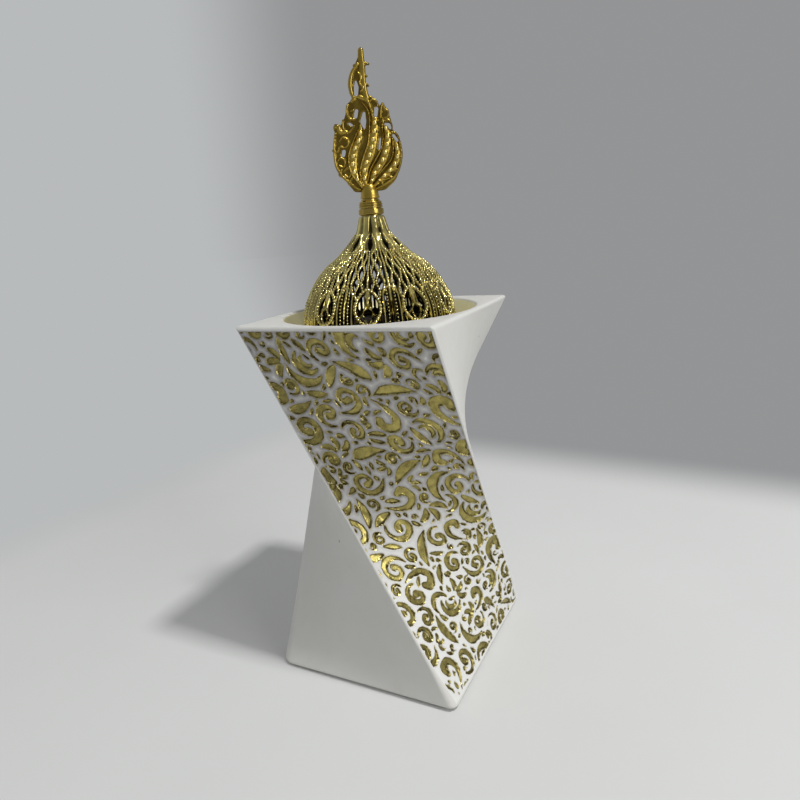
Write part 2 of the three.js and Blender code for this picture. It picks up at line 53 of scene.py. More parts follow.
# %% A mesh from arrays
def make_piece(name, points, faces, sharp=40.0, values=None):
    """A mesh object from points in millimetres and faces of 3 or 4 point numbers. Its faces are
    shaded smooth, except across edges that turn by more than `sharp` degrees. `values` holds
    numbers to keep on the points, by name, for the materials to read."""
    mesh = bpy.data.meshes.new(name)
    mesh.from_pydata(np.asarray(points, float) * MM, [], faces)
    mesh.shade_smooth()
    mesh.set_sharp_from_angle(angle=np.radians(sharp))
    for key, numbers in (values or {}).items():
        mesh.attributes.new(key, "FLOAT", "POINT").data.foreach_set(
            "value", np.asarray(numbers, np.float32).ravel())
    piece = bpy.data.objects.new(name, mesh)
    bpy.context.scene.collection.objects.link(piece)
    print(name, "-", len(mesh.vertices), "points,", len(mesh.polygons), "faces")
    return piece


print("a millimetre is", MM, "of Blender's metres")


# %% Faces of a grid and of a stack of rings
def grid_faces(rows, columns, wrap_rows=False, wrap_columns=True):
    """Four-sided faces between the neighbours of a grid whose points are numbered row by row.
    Columns run counter-clockwise seen from above and rows run up, so that faces look outwards."""
    down = np.arange(rows if wrap_rows else rows - 1)[:, None]
    side = np.arange(columns if wrap_columns else columns - 1)[None]
    low, high = down * columns, (down + 1) % rows * columns
    next_side = (side + 1) % columns
    quads = np.stack([low + side, low + next_side, high + next_side, high + side], -1)
    return quads.reshape(-1, 4)


def skin_rings(rings, wrap_rows=False):
    """Points and faces of a closed skin over a stack of rings, an array of rows x columns x 3.
    The first and last ring are closed by a fan round their middle, or joined if rows wrap."""
    rows, columns = rings.shape[:2]
    points, faces = rings.reshape(-1, 3), grid_faces(rows, columns, wrap_rows).tolist()
    if not wrap_rows:
        ends = rings[[0, -1]].mean(1)
        side = np.arange(columns)
        next_side = (side + 1) % columns
        last, foot, top = (rows - 1) * columns, rows * columns, rows * columns + 1
        faces += np.stack([np.full(columns, foot), next_side, side], -1).tolist()
        faces += np.stack([np.full(columns, top), last + side, last + next_side], -1).tolist()
        points = np.concatenate([points, ends])
    return points, faces


print("a grid of 3 x 4 points has", len(grid_faces(3, 4)), "faces when it goes once round")

# %% [markdown]
# Much on the burner goes round an upright axis. Blender's Screw modifier could turn a profile, but
# rings of points worked out from their angles do the same for shapes that aren't quite round, and
# the order of the points makes all faces look outwards. Sharp corners are rounded in the profile,
# before it is turned.

# %% Round the axis
def full_turn(count):
    """`count` even steps once round the axis, in radians."""
    return np.linspace(0, 2 * np.pi, count, endpoint=False)


def polar(radius, angle, height):
    """Places by radius, angle and height: x = radius cos(angle), y = radius sin(angle)."""
    x, y = radius * np.cos(angle), radius * np.sin(angle)
    return np.stack([x, y, height + 0 * x], -1)


def turn_about_z(x, y, height, angle):
    """Places turned about the Z axis: (x cos - y sin, x sin + y cos, height)."""
    c, s = np.cos(angle), np.sin(angle)
    return np.stack([c * x - s * y, s * x + c * y, height + 0 * x], -1)


def turn_profile(profile, angle):
    """Rings of a turned shape: each [radius, height] of the profile goes round the Z axis by the
    given angles. The profile runs up the outside."""
    profile = np.asarray(profile, float)
    return polar(profile[:, :1], angle, profile[:, 1:])


CORNER_STEPS = 5


def round_corner(start, corner, end, reach):
    """Points of a soft corner: a curve from `reach` before the corner to `reach` after it, at
    share t of its way (1-t)^2 a + 2t(1-t) corner + t^2 b."""
    start, corner, end = (np.asarray(p, float) for p in (start, corner, end))
    a = corner + (start - corner) / np.linalg.norm(start - corner) * reach
    b = corner + (end - corner) / np.linalg.norm(end - corner) * reach
    t = np.linspace(0, 1, CORNER_STEPS)[:, None]
    return (1 - t) ** 2 * a + 2 * t * (1 - t) * corner + t ** 2 * b


print("a soft corner has", len(round_corner((0, 0), (1, 0), (1, 1), 0.2)), "points")

# %% [markdown]
# Most of the ornament on this burner is drawn the way a brush would draw it: a line with a
# width that swells and thins. So one function serves the scrollwork in the resin, the ribs and
# openings of the dome, and the flame. It says how far each place lies from the edge of the stroke,
# less than nothing inside it, and how far along the stroke it is, which is where beads go.

# %% Strokes
FAR_AWAY = 9.0


def stroke_field(x, y, line, width, scale_x=1.0, scale_y=1.0, reach=3.0):
    """For each leg a to b of the line: t = ((p-a).(b-a)) / |b-a|^2 held between 0 and 1, and the
    distance is |p - (a + t(b-a))| less the half width there. The nearest leg wins. Returns the
    distance to the stroke's edge and the length run along its line, both in millimetres. Places
    further than `reach` from the box round the stroke are only said to be FAR_AWAY."""
    x, y, sx, sy = (np.asarray(v, float) for v in np.broadcast_arrays(x, y, scale_x, scale_y))
    line, width = np.asarray(line, float), np.broadcast_to(width, len(line)).astype(float)
    (low_x, low_y), (high_x, high_y) = line.min(0), line.max(0)
    margin = reach + width.max()
    near = ((low_x - x) * sx < margin) & ((x - high_x) * sx < margin)
    near &= ((low_y - y) * sy < margin) & ((y - high_y) * sy < margin)
    edge_all, run_all = np.full(x.shape, FAR_AWAY), np.zeros(x.shape)
    if not near.any():
        return edge_all, run_all
    x, y, sx, sy = x[near], y[near], sx[near], sy[near]
    ax, ay = (line[:-1, :1] - x) * sx, (line[:-1, 1:] - y) * sy
    bx, by = (line[1:, :1] - line[:-1, :1]) * sx, (line[1:, 1:] - line[:-1, 1:]) * sy
    square = np.maximum(bx ** 2 + by ** 2, 1e-12)
    share = np.clip(-(ax * bx + ay * by) / square, 0, 1)
    away = np.hypot(ax + share * bx, ay + share * by)
    edge = away - (width[:-1, None] + share * (width[1:] - width[:-1])[:, None])
    leg = np.sqrt(square)
    run = np.concatenate([np.zeros((1, leg.shape[1])), np.cumsum(leg, 0)[:-1]]) + share * leg
    nearest = edge.argmin(0), np.arange(edge.shape[1])
    edge_all[near], run_all[near] = edge[nearest], run[nearest]
    return edge_all, run_all


print("1 mm beside a line with a half width of 0.4 mm, the edge is", stroke_field(
    [0.5], [1.0], [[0, 0], [1, 0]], 0.4)[0][0], "mm away")


# %% Curves and soft steps
def smooth_line(knots, count=40):
    """A curve through the knots: between two of them, a cubic whose slope at each knot is half
    the way from the knot before to the knot after."""
    knots = np.asarray(knots, float)
    padded = np.concatenate([2 * knots[:1] - knots[1:2], knots, 2 * knots[-1:] - knots[-2:-1]])
    place = np.linspace(0, len(knots) - 1, count)
    index = np.minimum(place.astype(int), len(knots) - 2)
    t = (place - index)[:, None]
    a, b, c, d = (padded[index + k] for k in range(4))
    return 0.5 * (2 * b + (c - a) * t + (2 * a - 5 * b + 4 * c - d) * t ** 2
                  + (3 * b - a - 3 * c + d) * t ** 3)


def ease(value, start, end):
    """0 before start, 1 after end and a soft step between: t^2 (3 - 2t). Start may be above end."""
    t = np.clip((value - start) / (end - start), 0, 1)
    return t * t * (3 - 2 * t)


def half_round(share):
    """How high a half circle is at a share of its radius: sqrt(1 - share^2), and 0 beyond 1."""
    return np.sqrt(np.clip(1 - share ** 2, 0, 1))


def bell(value, middle, span):
    """A soft hump, 1 at its middle: exp(-((value - middle) / span)^2)."""
    return np.exp(-((value - middle) / span) ** 2)


print("a curve through (0, 0), (1, 2), (3, 2), three quarters of its way:",
      smooth_line([[0, 0], [1, 2], [3, 2]], 5)[3])

# %% [markdown]
# A material is a small network of nodes. These helpers make a node, or the few combinations that
# come up again and again: a patch of noise, a blend of two colours, a bump. Every pattern reads
# the object's own coordinates, so it stays on the piece however the piece is lifted or turned. A
# painted picture would first need every skin cut open and laid flat, and would show seams.

# %% Material helpers
def feed(tree, socket, value):
    """Gives a socket another node's output, a number, or a colour of three numbers."""
    if isinstance(value, bpy.types.NodeSocket):
        tree.links.new(value, socket)
    else:
        socket.default_value = (*value, 1) if socket.type == "RGBA" else value


def connect(tree, target, **inputs):
    """Feeds a node's sockets by name, with a low line where the name has a space."""
    for key, value in inputs.items():
        feed(tree, target.inputs[key.replace("_", " ")], value)


def node(tree, kind, settings=None, **inputs):
    """Adds a shader node, sets its choices and feeds its sockets."""
    made = tree.nodes.new("ShaderNode" + kind)
    for key, value in (settings or {}).items():
        setattr(made, key, value)
    connect(tree, made, **inputs)
    return made


def start_material(name):
    """A new material: its node tree, its surface shader and the object's coordinates."""
    material = bpy.data.materials.new(name)
    material.use_nodes = True
    tree = material.node_tree
    surface = tree.nodes["Principled BSDF"]
    return material, tree, surface, node(tree, "TexCoord").outputs["Object"]


print("materials are made of nodes such as", bpy.types.ShaderNodeMapRange.bl_rna.name)


# %% Patterns, blends and bumps
def noise(tree, place, scale, detail=3.0, roughness=0.55):
    """Cloudy noise between 0 and 1, with about `scale` blobs to a metre."""
    return node(tree, "TexNoise", Vector=place, Scale=scale, Detail=detail,
                Roughness=roughness).outputs["Fac"]


def remap(tree, value, low, high, to_low=0.0, to_high=1.0, way="LINEAR"):
    """Rescales a number from low..high to to_low..to_high, held at both ends: along a straight
    line, or with soft ends where `way` is SMOOTHSTEP."""
    return node(tree, "MapRange", {"interpolation_type": way}, Value=value, From_Min=low,
                From_Max=high, To_Min=to_low, To_Max=to_high).outputs["Result"]


def combine(tree, operation, first, *others):
    """Arithmetic on two or more numbers, from the first to the last."""
    for other in others:
        made = node(tree, "Math", {"operation": operation})
        feed(tree, made.inputs[0], first)
        feed(tree, made.inputs[1], other)
        first = made.outputs[0]
    return first


def blend(tree, share, first, second, mode="MIX"):
    """Blends two colours by a share. The colours are sockets 6 and 7 of the node."""
    made = node(tree, "Mix", {"data_type": "RGBA", "blend_type": mode})
    for index, value in ((0, share), (6, first), (7, second)):
        feed(tree, made.inputs[index], value)
    return made.outputs[2]


def bump(tree, height, depth_mm, strength=1.0, under=None):
    """Small relief that only the light sees: `height` 0 to 1 stands for depth_mm."""
    made = node(tree, "Bump", Height=height, Distance=depth_mm * MM, Strength=strength)
    if under is not None:
        connect(tree, made, Normal=under)
    return made.outputs["Normal"]


print("five helpers are ready, from noise to bump")

# %% [markdown]
# The camera stands a little above the rim and about thirty centimetres away, looks fifteen
# degrees down and is tilted by four and a half degrees. It could be turned by three angles in
# Blender, but three directions are easier to check: the way it looks, its right and its up.

# %% Camera
def aim_camera(place, left_of_north, downwards, tilt, pixels):
    """A camera at `place` in metres. It looks along +Y turned left and down by the given angles
    and is tilted by `tilt`, all in degrees. `pixels` is the picture's distance from the lens in
    pixels of an 800-pixel picture."""
    turn, down, roll = np.radians([left_of_north, downwards, tilt])
    look = np.array([-np.sin(turn) * np.cos(down), np.cos(turn) * np.cos(down), -np.sin(down)])
    level = np.array([np.cos(turn), np.sin(turn), 0])
    above = np.cross(level, look)
    right = np.cos(roll) * level + np.sin(roll) * above
    up = -np.sin(roll) * level + np.cos(roll) * above
    camera = bpy.data.objects.new("camera", bpy.data.cameras.new("camera"))
    camera.data.lens = pixels * camera.data.sensor_width / 800
    camera.data.clip_start = 0.01
    camera.matrix_world = Matrix(np.vstack([
        np.column_stack([right, up, -look, place]), [0, 0, 0, 1]]).tolist())
    bpy.context.scene.collection.objects.link(camera)
    return camera


camera = aim_camera(place=(0.1329, -0.2464, 0.1943), left_of_north=27.14, downwards=15.13,
                    tilt=-4.47, pixels=642.15)
bpy.context.scene.camera = camera
bpy.context.scene.view_settings.view_transform = "Standard"
print("camera lens in mm:", round(camera.data.lens, 2))

# %% [markdown]
# The burner stands in a white booth, with a pale floor and grey walls on the left and behind. One
# lamp high up on the right is the key, and its small size gives the shadow a fairly clear edge. A
# wide soft panel low on the right fills in. Real walls would throw shadows and take time to render,
# so the world stands for them: an even grey, a little lighter on the left.

# %% Lamps
LAMP_AIM = Vector((0, 0, 0.08))


def soft_lamp(name, place, size, watts):
    """A square panel of light at `place`, turned to look at the middle of the burner."""
    lamp = bpy.data.objects.new(name, bpy.data.lights.new(name, "AREA"))
    lamp.data.size, lamp.data.energy = size, watts
    lamp.location = place
    lamp.rotation_mode = "QUATERNION"
    lamp.rotation_quaternion = (Vector(place) - LAMP_AIM).to_track_quat("Z", "Y")
    bpy.context.scene.collection.objects.link(lamp)
    return lamp


key_lamp = soft_lamp("key_lamp", place=(0.67, -0.06, 1.5), size=0.13, watts=12.5)
fill_lamp = soft_lamp("fill_lamp", place=(1.25, -0.35, 0.45), size=0.7, watts=5.2)
print("lamps:", key_lamp.name, fill_lamp.name)

# %% The greys of the walls
RIGHT_GREY, LEFT_GREY = (0.294, 0.297, 0.302), (0.48, 0.495, 0.5)
# level directions, and how far along each a step starts and ends: where the left wall begins, as
# part of a direction of length 1, and where the two walls stand, in metres
LEFT_WALL = [((-0.793, -0.609), -0.1, 0.1), ((-0.966, 0.259), 0.3, 0.75)]
WALL_FEET = [((-0.987, 0.158), 0.255, 0.34), ((0.101, 0.995), 0.205, 0.29)]


def soft_steps(tree, place, steps):
    """For each (direction, low, high): 0 where the place lies less than low in that direction, 1
    where it lies more than high, and a soft step between. How far it lies is a dot product."""
    shares = []
    for direction, low, high in steps:
        made = node(tree, "VectorMath", {"operation": "DOT_PRODUCT"}, Vector=place)
        made.inputs[1].default_value = (*direction, 0)
        shares.append(remap(tree, made.outputs["Value"], low, high, way="SMOOTHSTEP"))
    return shares


def wall_grey(tree, toward):
    """The grey of the wall that stands in a direction: lighter on the left, with a soft edge."""
    on_left = combine(tree, "MULTIPLY", *soft_steps(tree, toward, LEFT_WALL))
    return blend(tree, on_left, RIGHT_GREY, LEFT_GREY)


world = bpy.data.worlds.new("booth_grey")
bpy.context.scene.world = world
world.use_nodes = True
tree = world.node_tree
toward = node(tree, "TexCoord").outputs["Generated"]
connect(tree, tree.nodes["Background"], Color=wall_grey(tree, toward), Strength=1.0)
print("the world has", len(tree.nodes), "nodes")

# %% [markdown]
# The floor is pale card. It is one wide flat disc, and where the walls would stand its material
# goes over softly to their greys, so that no horizon shows.

# %% Floor
floor_material, tree, surface, place = start_material("pale_floor")
grain = remap(tree, noise(tree, place, 9, 4), 0.3, 0.7, 0.97, 1.0)
paper = blend(tree, 1.0, (0.76, 0.765, 0.75), node(
    tree, "CombineColor", Red=grain, Green=grain, Blue=grain).outputs["Color"], "MULTIPLY")
connect(tree, surface, Base_Color=paper, Roughness=0.75)
far = node(tree, "VectorMath", {"operation": "LENGTH"}, Vector=place).outputs["Value"]
beyond = combine(tree, "MAXIMUM", *soft_steps(tree, place, WALL_FEET),
                 remap(tree, far, 0.4, 0.8, way="SMOOTHSTEP"))
toward = node(tree, "VectorMath", {"operation": "NORMALIZE"}, Vector=place).outputs["Vector"]
wall = node(tree, "Emission", Color=wall_grey(tree, toward), Strength=1.0)
mixed = node(tree, "MixShader", Fac=beyond)
tree.links.new(surface.outputs[0], mixed.inputs[1])
tree.links.new(wall.outputs[0], mixed.inputs[2])
tree.links.new(mixed.outputs[0], tree.nodes["Material Output"].inputs["Surface"])
FLOOR_RADIUS, FLOOR_SIDES = 6000, 64
floor = make_piece("floor", polar(FLOOR_RADIUS, full_turn(FLOOR_SIDES), 0),
                   [list(range(FLOOR_SIDES))])
floor.data.materials.append(floor_material)

# %% [markdown]
# The body is one casting. Every level of it is a square with rounded corners. Between foot and
# rim the square turns by ninety degrees and pinches at the waist, because its corners run in
# straight lines: a point of the foot at share s of the height has moved s of the way to the
# matching point of the rim. So the half side is the length of (1-s) foot + s rim, with the two
# at right angles, and the turn is that sum's direction. A Simple Deform modifier could twist a
# box, but it would bend its edges into screws, and here they stay straight.

# %% The twisted square
HEIGHT, TOP_HALF, FOOT_HALF = 160.0, 44.0, 45.0
# radii of the upright edges, of the rim and of the foot, then how far the sides bow outwards
EDGE, RIM_ROUND, FOOT_ROUND, FOOT_Z, BULGE = 1.1, 1.6, 1.9, 0.9, 0.8
# the upright edges are this much rounder at the foot, from this height down: three of them, and
# then the one that is softer than the others
FOOT_SOFT, FOOT_SOFT_Z, SOFTER, SOFTER_Z = 2.2, 26, 5.4, 110


def level_square(height):
    """Half side and turn of the body's square at each height, from the sum described above."""
    share = np.asarray(height, float) / HEIGHT
    return (np.hypot((1 - share) * FOOT_HALF, share * TOP_HALF),
            np.arctan2((1 - share) * FOOT_HALF, share * TOP_HALF))


print("half way up, half side in mm and turn in radians are", *np.round(
    level_square(HEIGHT / 2), 2))

# %% Outlines and rings
PLAIN, FANCY, CORNER = 14, 190, 6
across_plain = np.linspace(-1, 1, PLAIN)
across_fancy = np.linspace(-1, 1, FANCY)
arc_angle = np.linspace(0, np.pi / 2, CORNER + 2)[1:-1]


def edge_round(z):
    """The radius of the upright edges: small, but larger down at the foot."""
    return EDGE + FOOT_SOFT * ease(np.asarray(z, float), FOOT_SOFT_Z, 0)


def square_ring(half, corner, bulge=0.0, soft=None):
    """A square outline with round corners and sides bowed by bulge (1 - t^2), for arrays of half
    side and corner radius: rows x columns x 2. `soft` is the radius of the corner that is rounder
    than the others. The side that carries the scrollwork comes last and has the most points, and
    it looks to -Y."""
    half, corner, bulge, soft = (
        np.atleast_1d(v).astype(float)[:, None]
        for v in np.broadcast_arrays(half, corner, bulge, corner if soft is None else soft))
    parts = []
    for side in range(4):
        before, after = soft if side == 2 else corner, soft if side == 1 else corner
        t = across_fancy if side == 3 else across_plain
        x = half + bulge * (1 - t ** 2)
        y = (t + 1) / 2 * (2 * half - before - after) - (half - before)
        cx = half - after + after * np.cos(arc_angle)
        cy = half - after + after * np.sin(arc_angle)
        x, y = np.concatenate([x, cx], 1), np.concatenate([y, cy], 1)
        parts.append(turn_about_z(x, y, 0, side * np.pi / 2)[..., :2])
    return np.concatenate(parts, 1)


def place_rings(outline, turn, height):
    """Turns each outline by its angle and lifts it to its height."""
    turn, height = np.atleast_1d(turn)[:, None], np.atleast_1d(height)[:, None]
    return turn_about_z(outline[..., 0], outline[..., 1], height, turn)


columns = square_ring(10.0, 1.0).shape[1]
fancy_first = columns - FANCY - CORNER
print(columns, "points round each level, scrollwork from column", fancy_first)

# %% [markdown]
# The scrollwork is a dense scatter of small flourishes: crescents, commas, leaves, curls and
# fans, all strokes that swell and thin, drawn for this file. It could be sculpted, but a stroke
# that is a formula can be scattered by a rule and keeps its crisp edge. Two dozen bold strokes
# come first. The measured body has the same ones, so their places are worked out in the same way:
# the number of the attempt gives kind, place, length and turn, and a stroke stays if it keeps
# clear of all that are there.

# %% Bold strokes
# middle line across and up, and half width, as shares of a stroke's length
BOLD_KINDS = [np.array(kind) for kind in (
    [[-0.47, -0.2, 0.015], [-0.3, 0.04, 0.09], [0, 0.15, 0.135], [0.3, 0.04, 0.09],
     [0.47, -0.2, 0.015]],
    [[0.3, -0.5, 0.015], [0.33, -0.17, 0.07], [0.22, 0.16, 0.1], [-0.06, 0.28, 0.115],
     [-0.25, 0.06, 0.14], [-0.13, -0.09, 0.1]],
    [[-0.5, 0.06, 0.015], [-0.17, -0.02, 0.11], [0.17, -0.02, 0.12], [0.5, 0.08, 0.015]],
    [[-0.06, -0.05, 0.1], [0.11, -0.07, 0.07], [0.13, 0.12, 0.07], [-0.07, 0.22, 0.075],
     [-0.27, 0.06, 0.08], [-0.22, -0.22, 0.085], [0.05, -0.36, 0.08], [0.42, -0.3, 0.015]],
    [[-0.42, -0.02, 0.015], [-0.05, 0.03, 0.12], [0.2, 0, 0.15], [0.36, -0.06, 0.06]],
)]
BOLD_LENGTH, BOLD_VARY, BOLD_GAP, BOLD_BAND = 18.0, 0.3, 0.9, 2.6
BOLD_COUNT, BOLD_ATTEMPTS = 24, 900
PLASTIC, GOLDEN = 1.32471795724, (np.sqrt(5) - 1) / 2


def turned_by(points, angle):
    """Points turned about the origin: (x cos - y sin, x sin + y cos)."""
    c, s = np.cos(angle), np.sin(angle)
    return points @ np.array([[c, s], [-s, c]])


def bold_stroke(attempt):
    """Middle line and half widths in mm of one attempt. Its place steps by powers of the plastic
    number, which spreads places evenly, and its turn by the golden section."""
    kind = BOLD_KINDS[attempt % len(BOLD_KINDS)]
    height = HEIGHT * (attempt / PLASTIC % 1)
    across = float(level_square(height)[0]) * (2 * (attempt / PLASTIC ** 2 % 1) - 1)
    size = BOLD_LENGTH * (1 - BOLD_VARY * (attempt * np.sqrt(2) % 1))
    side = 1 if attempt // len(BOLD_KINDS) % 2 else -1
    line = turned_by(kind[:, :2] * [side, 1], 2 * np.pi * (attempt * GOLDEN % 1))
    return line * size + [across, height], kind[:, 2] * size


print("the first attempt is at", np.round(bold_stroke(0)[0].mean(0), 1))


# %% Keep those that are clear
def bold_strokes():
    """The attempts that keep clear, tested on round spots at the knots and half way between."""
    strokes, taken, taken_reach = [], np.zeros((0, 2)), np.zeros(0)
    for attempt in range(BOLD_ATTEMPTS):
        line, width = bold_stroke(attempt)
        spots = np.concatenate([line, (line[1:] + line[:-1]) / 2])
        reach = np.concatenate([width, (width[1:] + width[:-1]) / 2])
        edge = reach + BOLD_BAND
        inside = (spots[:, 1] > edge) & (spots[:, 1] < HEIGHT - edge)
        inside &= np.abs(spots[:, 0]) < level_square(spots[:, 1])[0] - edge
        apart = np.linalg.norm(spots[:, None] - taken[None], axis=-1)
        if inside.all() and (apart > reach[:, None] + taken_reach + BOLD_GAP).all():
            strokes.append((line, width))
            taken, taken_reach = np.concatenate([taken, spots]), np.append(taken_reach, reach)
        if len(strokes) == BOLD_COUNT:
            break
    return strokes


bold = bold_strokes()
print(len(bold), "bold strokes, the first at", np.round(bold[0][0].mean(0), 1))

# %% [markdown]
# The spaces between them are filled with finer flourishes, large ones first. Each is a middle line
# with a width, drawn about 1 long, and the larger ones are made of two or three strokes.

# %% Fine flourishes
step = np.linspace(0, 1, 18)


def arc(start, sweep, radius, middle=(0.0, 0.0)):
    """Points on part of a circle: middle + radius (cos a, sin a), a from start by sweep degrees."""
    a = np.radians(start + sweep * step)
    return np.stack([middle[0] + radius * np.cos(a), middle[1] + radius * np.sin(a)], 1)


def swell(low, high, power=1.0):
    """A width that is `low` at both ends and low + high in the middle: low + high sin(pi s)^p."""
    return low + high * np.sin(np.pi * step) ** power


def drawn(kind):
    """A bold kind as a smooth stroke: its knots joined by a curve, widths included."""
    curve = smooth_line(kind, 26)
    return curve[:, :2], np.maximum(curve[:, 2], 0.01)


leaf = np.stack([0.06 * np.sin(np.pi * step), step - 0.5], 1), swell(0.03, 0.1, 0.8)
crescent = arc(10, 190, 0.42, (0, -0.2)), swell(0.03, 0.075)
curl_turn, curl_reach = np.radians(60 + 430 * step), 0.1 + 0.34 * step ** 1.25
curl = (np.stack([curl_reach * np.cos(curl_turn), curl_reach * np.sin(curl_turn)], 1),
        np.interp(step, [0, 0.12, 0.85, 1], [0.1, 0.07, 0.085, 0.02]))
frond = (np.concatenate([arc(180, -200, 0.3, (0.1, 0.1)), arc(-20, -190, 0.14, (0.25, 0.04))]),
         np.interp(np.linspace(0, 1, 36), [0, 0.3, 0.8, 1], [0.03, 0.085, 0.07, 0.1]))
petal = (np.stack([0.08 * np.sin(np.pi * step), 0.1 + 0.42 * step], 1), swell(0.02, 0.065, 0.7))
# the kinds, each made of one or more strokes
FLOURISHES = {
    "comma": [drawn(BOLD_KINDS[1])],
    "drop": [drawn(BOLD_KINDS[4])],
    "leaf": [leaf],
    "crescent": [crescent],
    "curl": [curl],
    "frond": [frond],
    "fan": [(turned_by(petal[0], a), petal[1]) for a in (-0.95, 0.0, 0.95)],
    "echo": [crescent, (0.5 * crescent[0] - [0, 0.12], 0.8 * crescent[1])],
}
LARGE = ["frond", "curl", "comma", "fan", "echo", "frond"]
MIXED = ["frond", "curl", "comma", "fan", "echo", "crescent", "frond", "curl", "leaf"]
SMALL = ["comma", "leaf", "drop", "leaf", "comma", "frond"]
# kinds, smallest and largest size, tries, least gap, and how much bolder than drawn
LAYERS = [
    (LARGE, 12.5, 17.0, 3000, 0.42, 1.2), (MIXED, 9.0, 12.0, 6000, 0.4, 1.3),
    (MIXED, 6.2, 8.6, 9000, 0.38, 1.4), (SMALL, 3.6, 5.8, 14000, 0.36, 1.6),
    (["drop", "leaf"], 2.3, 3.4, 6000, 0.36, 1.9),
]
print(len(FLOURISHES), "kinds of flourish in", len(LAYERS), "layers")

# %% [markdown]
# To find room for a flourish without comparing it with all the others, a map holds the distance
# to the nearest stroke, on a grid a fifth of a millimetre fine. A new flourish is tried at a random
# place, read against the map, and stamped into it if it keeps clear.

# %% The map of distances
# grid step, how far round a stroke the map is lowered, and what it says where nothing is near
CELL, MAP_REACH, MAP_FAR = 0.2, 2.5, 6.0
map_x, map_y = np.arange(-46, 46.01, CELL), np.arange(-1, 161.01, CELL)


def stamp(distance, line, width):
    """Lowers the map to the distance from one stroke, where that is nearer."""
    margin = width.max() + MAP_REACH
    low, high = line.min(0) - margin, line.max(0) + margin
    i0, i1 = np.searchsorted(map_x, [low[0], high[0]])
    j0, j1 = np.searchsorted(map_y, [low[1], high[1]])
    if i1 > i0 and j1 > j0:
        x, y = np.meshgrid(map_x[i0:i1], map_y[j0:j1])
        edge, _ = stroke_field(x, y, line, width)
        distance[j0:j1, i0:i1] = np.minimum(distance[j0:j1, i0:i1], edge)


def clear_of(distance, line, width, gap):
    """Whether the map is further than the stroke's half width and a gap, all along it."""
    i = np.clip(np.rint((line[:, 0] - map_x[0]) / CELL).astype(int), 0, len(map_x) - 1)
    j = np.clip(np.rint((line[:, 1] - map_y[0]) / CELL).astype(int), 0, len(map_y) - 1)
    return (distance[j, i] - width).min() > gap


print("the map has", len(map_x), "x", len(map_y), "cells")


# %% Scatter the flourishes
def scatter_flourishes(seed):
    """The distance map of the whole face. Each flourish is scaled, mirrored, turned and moved:
    size x turned(mirror x points) + place."""
    random = np.random.default_rng(seed)
    distance = np.full((len(map_y), len(map_x)), MAP_FAR)
    for line, width in bold:
        stamp(distance, *drawn(np.column_stack([line, width])))
    kept = 0
    for kinds, smallest, largest, tries, gap, bolder in LAYERS:
        for _ in range(tries):
            height = random.uniform(1, HEIGHT - 1)
            half = float(level_square(height)[0])
            middle = np.array([random.uniform(-half, half), height])
            strokes = FLOURISHES[kinds[random.integers(len(kinds))]]
            size, turn = random.uniform(smallest, largest), random.uniform(0, 2 * np.pi)
            mirror = np.array([random.choice([-1.0, 1.0]), 1.0]) * size
            weight = size * bolder * random.uniform(0.9, 1.15)
            strokes = [(turned_by(line * mirror, turn) + middle, width * weight)
                       for line, width in strokes]
            if all(clear_of(distance, line, width, gap) for line, width in strokes):
                for line, width in strokes:
                    stamp(distance, line, width)
                kept += 1
    print(kept, "fine flourishes")
    return distance


flourish_map = scatter_flourishes(11)
print("share of the face that is sunk and gilded:", round(float((flourish_map < 0).mean()), 2))

# %% [markdown]
# The strokes are sunk in the face, with soft walls about half a millimetre wide, and the floor
# of each is gilded. A Displace modifier could press a picture of them into the face, but its walls
# would be as ragged as the grid. Here the depth is a formula of the distance to the nearest stroke.
# A plain band is left along the rim, the foot and both edges.

# %% The face and its relief
# how deep the strokes are and how wide their walls, then the width of each plain band
DEPTH, WALL = 0.85, 0.42
SIDE_BAND, RIM_BAND, FOOT_BAND = 1.25, 2.2, 3.6
# waves of a stroke's floor, height of the soft lip round it, how far that lip's middle lies from
# the edge and how wide it is, and how far the whole face is set in to make room for the lip
FLOOR_WAVE, LIP_RISE, LIP_PLACE, LIP_WIDTH, SET_IN = 0.06, 0.14, 0.3, 0.28, 0.1
RELIEF_START = FOOT_BAND + 0.6
NO_STROKE = 2.0  # the distance that points off the face are given


def read_map(values, u, z):
    """The map's value at each place, straight-line between its four nearest points."""
    x = np.clip((u - map_x[0]) / CELL, 0, len(map_x) - 1.001)
    y = np.clip((z - map_y[0]) / CELL, 0, len(map_y) - 1.001)
    i, j = x.astype(int), y.astype(int)
    x, y = x - i, y - j
    return ((1 - y) * ((1 - x) * values[j, i] + x * values[j, i + 1])
            + y * ((1 - x) * values[j + 1, i] + x * values[j + 1, i + 1]))


def sunk_distance(u, z):
    """Distance to the nearest stroke's edge, or to the plain bands where these are nearer."""
    half, _ = level_square(z)
    beside = np.abs(u) - (half - SIDE_BAND - edge_round(z) + EDGE)
    bands = np.maximum.reduce([beside, z - (HEIGHT - RIM_BAND), FOOT_BAND - z])
    return np.maximum(read_map(flourish_map, u, z), bands)


def face_point(u, z):
    """A place on the scrollwork's face, u across it and z up: (u, -half - bow) turned."""
    half, turn = level_square(z)
    bow = BULGE * z / HEIGHT * (1 - (u / (half - edge_round(z))) ** 2)
    return turn_about_z(u, -(half + bow), z, turn)


def face_normal(u, z):
    """The way the face looks: the cross product of its two slopes, scaled to length 1."""
    step = 0.05
    across = face_point(u + step, z) - face_point(u - step, z)
    up = face_point(u, z + step) - face_point(u, z - step)
    out = np.cross(across, up)
    return out / np.linalg.norm(out, axis=-1, keepdims=True)


print("the plain band at the rim is", RIM_BAND, "mm wide")

# %% [markdown]
# A grid of points can't show a crisp edge unless its lines follow that edge. So points near the
# top or the foot of a wall are slid along the face on to it. The same step later gives the openings
# of the dome and of the flame their smooth outlines.

